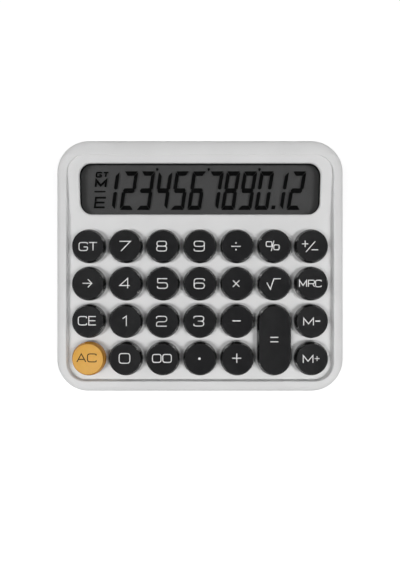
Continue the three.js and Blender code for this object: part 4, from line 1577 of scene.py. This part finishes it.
def coil_of(start_x):
    """A cone of spring wire along x, from the leaf to the cell's flat end."""
    curve = bpy.data.curves.new("coil", "CURVE")
    curve.dimensions = "3D"
    curve.bevel_depth = spring_wire
    curve.bevel_resolution = 3
    curve.use_fill_caps = True
    count = spring_turns * coil_steps
    spline = curve.splines.new("POLY")
    spline.points.add(count)
    for step in range(count + 1):
        share = step / count
        turn = share * spring_turns * 2 * math.pi
        radius = spring_wide + (spring_narrow - spring_wide) * share
        y = cell_middle.y + radius * math.cos(turn)
        z = cell_middle.z + radius * math.sin(turn)
        spline.points[step].co = (start_x + spring_length * share, y, z, 1)
    wire = bpy.data.objects.new("coil", curve)
    bpy.context.scene.collection.objects.link(wire)
    mesh = bpy.data.meshes.new_from_object(wire.evaluated_get(bpy.context.evaluated_depsgraph_get()))
    bpy.data.objects.remove(wire)
    bm = bmesh.new()
    bm.from_mesh(mesh)
    bmesh.ops.remove_doubles(bm, verts=bm.verts, dist=touching)
    bmesh.ops.recalc_face_normals(bm, faces=bm.faces)
    return object_from(bm, "coil")


# %% Build the two contacts
spring, left = contact_from("spring_contact", "spring_leaf")
combine(spring, coil_of(left + leaf_thickness + spring_wire / 2), "UNION")
finish(spring, "case", ["spring_contact"], [nickel_steel])

plate, left = contact_from("plate_contact", "plate_leaf")
facing = Matrix.Translation((left, cell_middle.y, cell_middle.z)) @ Matrix.Rotation(-math.pi / 2, 4, "Y")
button = [(button_radius * out, button_height * up) for out, up in ((0, 1), (0.5, 0.9), (0.85, 0.3))]
button += [(button_radius, -leaf_thickness / 2), (0, -leaf_thickness / 2)]
combine(plate, spun_at(button, facing, "button", fine_sides), "UNION")
finish(plate, "case", ["plate_contact"], [nickel_steel])

# %% [markdown]
# ## Dome sheet
# Under the keys lies one moulded silicone mat with a hollow dome under each plunger. A pressed key folds its
# dome. The flat sheet is one piece, and each dome is a piece of its own with a mesh of its own. A dome is a
# spun bell with a thin wall and a hanging pill inside, which meets the pads of the board.

# %% Mat and domes
silicone_ior = 1.41
# Silicone rubber is soft-looking: matt, pale and a little cloudy.
silicone_mat = moulded(
    "silicone rubber, grey", ("#8f9294", "#989b9d"), patch=6 * MM, grain=0.25 * MM,
    height=0.008 * MM, roughness=(0.5, 0.62), IOR=silicone_ior,
)
sheet_thickness = 0.8 * MM
dome_base = 4.1 * MM
dome_top = 2.6 * MM
dome_wall = 0.7 * MM
pill_height = 1.5 * MM
dome_round = 0.45 * MM
dome_chamfer = 0.1 * MM
pill_gap = 0.4 * MM
slot_walls = (0.05 * MM, 0.35 * MM)
mat_low, mat_high = box_in("dome_sheet", deck)
mat = plan_of("dome_sheet", deck)
mat_corner = 4 * MM
dome_rise = mat_high.z - mat_low.z


def dome_profile():
    """A closed profile of a bell that stands on zero, with its hollow and its pill."""
    top = arc((dome_top - dome_round, dome_rise - dome_round), dome_round, dome_round, 0, 90, 4)
    foot = [(dome_base, 0), (dome_base, sheet_thickness - dome_chamfer),
            (dome_base - dome_chamfer, sheet_thickness)]
    hollow_top = dome_rise - pill_height
    slot_top = hollow_top + dome_round
    pill = dome_top - dome_wall - pill_gap
    slot = [(pill + across, slot_top) for across in slot_walls]
    inner = dome_base - dome_wall
    inside = [(0, hollow_top), (pill, hollow_top)] + slot + [(inner, sheet_thickness / 2), (inner, 0)]
    return foot + top + [(0, dome_rise)] + inside


def dome_solid(bm):
    turned(bm, dome_profile(), fine_sides, closed=True)


def dome_places(name):
    place = key_places[name]
    shifts = (-long_reach, long_reach) if name == "equals" else (0,)
    return [Vector((place.x, place.y + shift, mat_low.z)) for shift in shifts]


def mat_holes(bm):
    for name in key_places:
        for place in dome_places(name):
            low, high = mat_low.z - overrun, mat_low.z + overrun
            rod(bm, place.x, place.y, dome_base, low, high, deck, fine_sides)


# %% Build the mat and its domes
sheet = solid("dome_mat", prism, mat, mat_corner, mat_low.z, mat_low.z + sheet_thickness, deck)
cut(sheet, mat_holes)
finish(sheet, "case", ["dome_sheet"], [silicone_mat])

one_dome = mesh_of(solid("dome", dome_solid), "dome")
for name in key_places:
    bm = bmesh.new()
    for place in dome_places(name):
        add_copy(bm, one_dome, deck @ Matrix.Translation(place))
    dome = object_from(bm, name + "_dome")
    finish(dome, "case", ["dome_sheet"], [silicone_mat])
    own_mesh(dome)

# %% [markdown]
# ## Circuit board, chip and display connections
# The board's shape is right in the frame, so it stays and only gets its finish: green solder mask over
# tracks that run in steps. Contact combs of carbon ink, printed under every dome, are laid on it as thin
# solids. The chip is a drop of black epoxy poured over the bare die, so its outline is not quite round. The
# display is joined to the board by a strip of striped rubber and rests on a strip of foam.

# %% Finish of the board
mask_ior = 1.55
mask_gloss = (0.24, 0.36)
gloss_patch = 14 * MM
block_size = 16 * MM
block_play = 0.7
block_shift = 40 * MM
half_track_pitch = 2.2 * MM
track_edge = (0.78, 0.84)
track_tone = "#3a8450"
track_rise = 0.03 * MM
half_waves = 6.3    # how many half waves a wave texture makes for each unit of its scale


def board_finish():
    """Solder mask over copper: glossy green, a shade lighter where a track runs in steps under it."""
    material, tree, shader, place = new_material("green solder mask on FR-2 board", IOR=mask_ior)
    tones = mottled(tree, shader, place, ("#14502c", "#1a5a33"), size=9 * MM)
    wander = add(tree, "TexNoise", {"Vector": place, "Scale": per(gloss_patch), "Detail": 0.0})
    blocks = add(tree, "TexVoronoi", {"Vector": place, "Scale": per(block_size), "Randomness": block_play},
                 distance="CHEBYCHEV")
    offset = add(tree, "VectorMath", {0: blocks.outputs["Color"], "Scale": block_shift}, operation="SCALE")
    bent = add(tree, "VectorMath", {0: place, 1: offset.outputs["Vector"]}, operation="ADD")
    lines = add(tree, "TexWave", {"Vector": bent.outputs["Vector"],
                                  "Scale": per(half_track_pitch) / half_waves},
                wave_type="BANDS", bands_direction="X")
    track = add(tree, "MapRange", {"Value": lines.outputs["Fac"], "From Min": track_edge[0],
                                   "From Max": track_edge[1]})
    both = add(tree, "Mix", {0: track.outputs["Result"], 6: tones.outputs["Color"], 7: linear(track_tone)},
               data_type="RGBA")
    tree.links.new(both.outputs[2], shader.inputs["Base Color"])
    bump = add(tree, "Bump", {"Height": track.outputs["Result"], "Distance": track_rise})
    tree.links.new(bump.outputs["Normal"], shader.inputs["Normal"])
    spread = add(tree, "MapRange", {"Value": wander.outputs["Fac"], "To Min": mask_gloss[0],
                                    "To Max": mask_gloss[1]})
    tree.links.new(spread.outputs["Result"], shader.inputs["Roughness"])
    return material


def dress(node, material):
    """Gives a node that stays its new material."""
    mesh = frame["nodes"][node].data
    mesh.materials.clear()
    mesh.materials.append(material)


dress("circuit_board", board_finish())
# The film behind the display is white and quite dull.
white_film = moulded(
    "white diffusing film, matt", ("#e4e4e0", "#ececea"), patch=8 * MM, grain=0.2 * MM,
    height=0.006 * MM, roughness=(0.6, 0.75), IOR=1.5,
)
dress("display_reflector", white_film)

# %% Contact combs of carbon ink
# Carbon ink is a dry, sooty black.
carbon_ink = moulded(
    "carbon ink, printed", ("#1b1b1d", "#26262a"), patch=0.8 * MM, grain=0.1 * MM,
    height=0.008 * MM, roughness=(0.55, 0.7), IOR=1.6,
)
pad_reach = 2.4 * MM
finger_width = 0.45 * MM
finger_pitch = 0.9 * MM
finger_count = 5
pad_thickness = 0.05 * MM
bar_thickness = pad_thickness * 0.9


def comb_pads(bm):
    """Two interlocking combs under each dome."""
    for name in key_places:
        for place in dome_places(name):
            for index in range(finger_count):
                y = place.y + (index - (finger_count - 1) / 2) * finger_pitch
                side = -1 if index % 2 else 1
                reach = sorted((place.x + side * pad_reach, place.x - side * (pad_reach - finger_pitch)))
                plan = Plan(reach[0], reach[1], y - finger_width / 2, y + finger_width / 2)
                prism(bm, plan, finger_width / 3, board_top, board_top + pad_thickness, deck, steps=2)
            span = finger_count * finger_pitch / 2
            for side in (-1, 1):
                x = place.x + side * pad_reach
                plan = around(x, place.y, finger_width, 2 * span)
                prism(bm, plan, finger_width / 3, board_top, board_top + bar_thickness, deck, steps=2)


pads = solid("contact_combs", comb_pads)
pads.data.materials.append(carbon_ink)
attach(pads, "case")
print(pads.name, len(pads.data.polygons), "faces")

# %% Chip under its drop of epoxy
# Poured epoxy is black and glossy, with the slow waves of something that has run.
epoxy_drop = moulded(
    "black epoxy, poured", ("#0d0d0e", "#141415"), patch=4 * MM, grain=0.9 * MM,
    height=0.01 * MM, roughness=(0.22, 0.34), IOR=1.56,
)
chip_low, chip_high = box_in("controller_chip", deck)
chip_middle = (chip_low + chip_high) / 2
chip_radius = (chip_high.x - chip_low.x) / 2
chip_height = chip_high.z - chip_low.z
drop_flat = 0.45
drop_waves = 0.03
few_lobes, many_lobes = 3, 5
drop_sides = 72
drop_steps = 12


def poured_drop(bm):
    flat = chip_radius * drop_flat
    rim = arc((flat, 0), chip_radius - flat, -chip_height, 90, 0, drop_steps)
    turned(bm, [(0, -chip_height)] + rim + [(0, 0)], drop_sides)
    for vert in bm.verts:
        turn = math.atan2(vert.co.y, vert.co.x)
        slow = (1 + math.sin(few_lobes * turn + 1)) / 2
        quick = (1 + math.sin(many_lobes * turn)) / 4
        vert.co.xy *= 1 - drop_waves * slow - drop_waves * quick
    bmesh.ops.transform(bm, matrix=deck @ Matrix.Translation((chip_middle.x, chip_middle.y, chip_high.z)),
                        verts=bm.verts)


drop = solid("chip_drop", poured_drop)
finish(drop, "case", ["controller_chip"], [epoxy_drop])

# %% Connector strip
layer_tones = ("#18181a", "#b9a9a4")
layer_width = 0.5 * MM
layer_play = 0.4
layer_edge = (0.4, 0.6)


def striped_rubber():
    """Dull layers of black and pale silicone; real layers are 0.1 mm, drawn 0.5 mm wide."""
    material, tree, shader, place = new_material("layered conductive silicone", IOR=silicone_ior)
    grained(tree, shader, place, size=0.25 * MM, height=0.006 * MM, roughness=(0.5, 0.65))
    layers = add(tree, "TexWave", {"Vector": place, "Scale": per(layer_width) / half_waves,
                                   "Distortion": layer_play}, wave_type="BANDS", bands_direction="X")
    tones = add(tree, "ValToRGB", {"Fac": layers.outputs["Fac"]})
    two_tones(tones.color_ramp, layer_tones, layer_edge)
    tree.links.new(tones.outputs["Color"], shader.inputs["Base Color"])
    return material


def strip_of(node, name, radius, edge):
    """A bar along the display whose foot is cut level with the board."""
    low, high = box_in(node, display)
    strip = solid(name, prism, plan_of(node, display), radius, low.z - overrun, high.z, display)
    cut(strip, prism, under_board, 0, -far_below, box_in(node, deck)[0].z, deck)
    return bevelled(strip, edge, 4)


connector = strip_of("elastomer_connector", "zebra_strip", radius=0.2 * MM, edge=0.15 * MM)
finish(connector, "case", ["elastomer_connector"], [striped_rubber()])

# %% Foam strip
pore_size = 0.7 * MM
pore_depth = 0.12 * MM
foam_ior = 1.45
foam_level = 0.2
foam_dull = (0.8, 0.95)


def open_foam():
    """Polyurethane foam: dark grey, dull, full of small pores."""
    material, tree, shader, place = new_material("polyurethane foam, dark grey", IOR=foam_ior,
                                                 Specular_IOR_Level=foam_level)
    mottled(tree, shader, place, ("#3b3c3e", "#47484a"), size=2 * MM)
    pores = add(tree, "TexVoronoi", {"Vector": place, "Scale": per(pore_size)})
    bump = add(tree, "Bump", {"Height": pores.outputs["Distance"], "Distance": pore_depth})
    tree.links.new(bump.outputs["Normal"], shader.inputs["Normal"])
    spread = add(tree, "MapRange", {"Value": pores.outputs["Distance"], "To Min": foam_dull[0],
                                    "To Max": foam_dull[1]})
    tree.links.new(spread.outputs["Result"], shader.inputs["Roughness"])
    return material


foam = strip_of("foam_strip", "foam_bar", radius=0.6 * MM, edge=0.5 * MM)
finish(foam, "case", ["foam_strip"], [open_foam()])

# %% [markdown]
# ## Floor, light and camera
# The calculator stands on a plain white floor, which also shines by itself to the camera and in reflections.
# To the camera the world is white too. In reflections its walls are white and its ceiling is nearly black,
# which keeps the display dark. To every other ray it is a dim grey, so that the white ground is not bought
# with more light on the object. The floor still darkens where the object shades it.
# Two softboxes stand left and right of the calculator, because the gaps between its keys are dark at their
# sides and pale above and below. They light without being mirrored, so the display shows no bright panel;
# four small spots do the opposite and only draw glints on the polished sides of the keys.

# %% Floor and world
floor_reach = 3.0
floor_glow = 0.75
paint_ior = 1.45


def white_floor():
    """Painted board: matt and plain, and shining by itself to the camera and in reflections."""
    material, tree, shader, place = new_material("white table top", IOR=paint_ior)
    mottled(tree, shader, place, ("#a0a0a0", "#a4a4a4"), size=60 * MM)
    grained(tree, shader, place, size=0.6 * MM, height=0.004 * MM, roughness=(0.6, 0.7))
    path = add(tree, "LightPath")
    seen = path.outputs["Is Camera Ray"]
    for ray in ("Is Glossy Ray", "Is Transmission Ray"):
        seen = add(tree, "Math", {0: seen, 1: path.outputs[ray]}, operation="MAXIMUM").outputs["Value"]
    glow = add(tree, "Emission", {"Color": linear("#ffffff"), "Strength": floor_glow})
    both = add(tree, "AddShader", {0: shader.outputs["BSDF"], 1: glow.outputs["Emission"]})
    mix = add(tree, "MixShader", {"Fac": seen, 1: shader.outputs["BSDF"], 2: both.outputs["Shader"]})
    output = tree.nodes["Material Output"]
    tree.links.new(mix.outputs["Shader"], output.inputs["Surface"])
    return material


floor_mesh = bmesh.new()
bmesh.ops.create_grid(floor_mesh, x_segments=8, y_segments=8, size=floor_reach)
floor = object_from(floor_mesh, "floor")
floor.data.materials.append(white_floor())
print("floor", 2 * floor_reach, "m wide")

ceiling_low = 0.35
ceiling_high = 0.8
wall_light = 0.07
ceiling_light = 0.03
ceiling_mirrored = 0.04

world = bpy.data.worlds.new("studio")
bpy.context.scene.world = world
world.use_nodes = True
sky = world.node_tree
background = sky.nodes["Background"]
background.inputs["Color"].default_value = linear("#ffffff")
direction = add(sky, "TexCoord")
height = add(sky, "SeparateXYZ", {"Vector": direction.outputs["Generated"]})


def falling(level, ceiling):
    """Strength that falls from the walls' level to the ceiling's with the height of the direction."""
    return add(sky, "MapRange", {"Value": height.outputs["Z"], "From Min": ceiling_low,
                                 "From Max": ceiling_high, "To Min": level, "To Max": ceiling},
               interpolation_type="SMOOTHSTEP")


path = add(sky, "LightPath")
lighting = falling(wall_light, ceiling_light)
mirrored = falling(1.0, ceiling_mirrored)
shiny = add(sky, "Mix", {0: path.outputs["Is Glossy Ray"], 2: lighting.outputs["Result"],
                         3: mirrored.outputs["Result"]})
clear = add(sky, "Math", {0: path.outputs["Is Camera Ray"], 1: path.outputs["Is Transmission Ray"]},
            operation="MAXIMUM")
strength = add(sky, "Mix", {0: clear.outputs["Value"], 2: shiny.outputs[0], 3: 1.0})
sky.links.new(strength.outputs[0], background.inputs["Strength"])

# %% Lamps
Lamp = namedtuple("Lamp", "name azimuth elevation distance size power mirrored")
softbox = (0.18, 0.34)
spot = (0.12, 0.12)
lamps = [
    Lamp("left softbox", 193, 65, 0.9, softbox, 4.0, False),
    Lamp("right softbox", -13, 65, 0.9, softbox, 4.0, False),
    Lamp("left front spot", 222, 40, 1.0, spot, 1.5, True),
    Lamp("left back spot", 138, 40, 1.0, spot, 1.5, True),
    Lamp("right front spot", -42, 40, 1.0, spot, 1.5, True),
    Lamp("right back spot", 42, 40, 1.0, spot, 1.5, True),
]
for lamp in lamps:
    light = bpy.data.lights.new(lamp.name, "AREA")
    light.shape = "RECTANGLE"
    light.size, light.size_y = lamp.size
    light.energy = lamp.power
    stand = bpy.data.objects.new(lamp.name, light)
    stand.visible_glossy = lamp.mirrored
    stand.visible_transmission = lamp.mirrored
    stand.visible_diffuse = not lamp.mirrored
    bpy.context.scene.collection.objects.link(stand)
    turn, rise = math.radians(lamp.azimuth), math.radians(lamp.elevation)
    away = Vector((math.cos(turn) * math.cos(rise), math.sin(turn) * math.cos(rise), math.sin(rise)))
    side = Vector((-math.sin(turn), math.cos(turn), 0))
    stand.matrix_world = (
        Matrix.Translation(deck @ (away * lamp.distance))
        @ (deck.to_3x3() @ Matrix((side, away.cross(side), away)).transposed()).to_4x4()
    )
print("lamps:", len(lamps))

# %% Camera
lens = 24.01
film_width = 36.0
eye_height = 200 * MM
nadir_y = 8.95 * MM
eye = deck @ Vector((0, nadir_y, eye_height))
target = deck @ Vector((0, nadir_y, 0))
camera_data = bpy.data.cameras.new("camera")
camera_data.lens = lens
camera_data.sensor_width = film_width
camera = bpy.data.objects.new("camera", camera_data)
bpy.context.scene.collection.objects.link(camera)
gaze = (eye - target).normalized()
across = (deck.to_3x3() @ Vector((0, 1, 0))).cross(gaze).normalized()
turn = Matrix((across, gaze.cross(across), gaze)).transposed()
camera.matrix_world = Matrix.Translation(eye) @ turn.to_4x4()
bpy.context.scene.camera = camera
print("camera", round((eye - target).length / MM), "mm above the deck, lens", lens, "mm")
bpy.context.scene.view_settings.view_transform = "Standard"
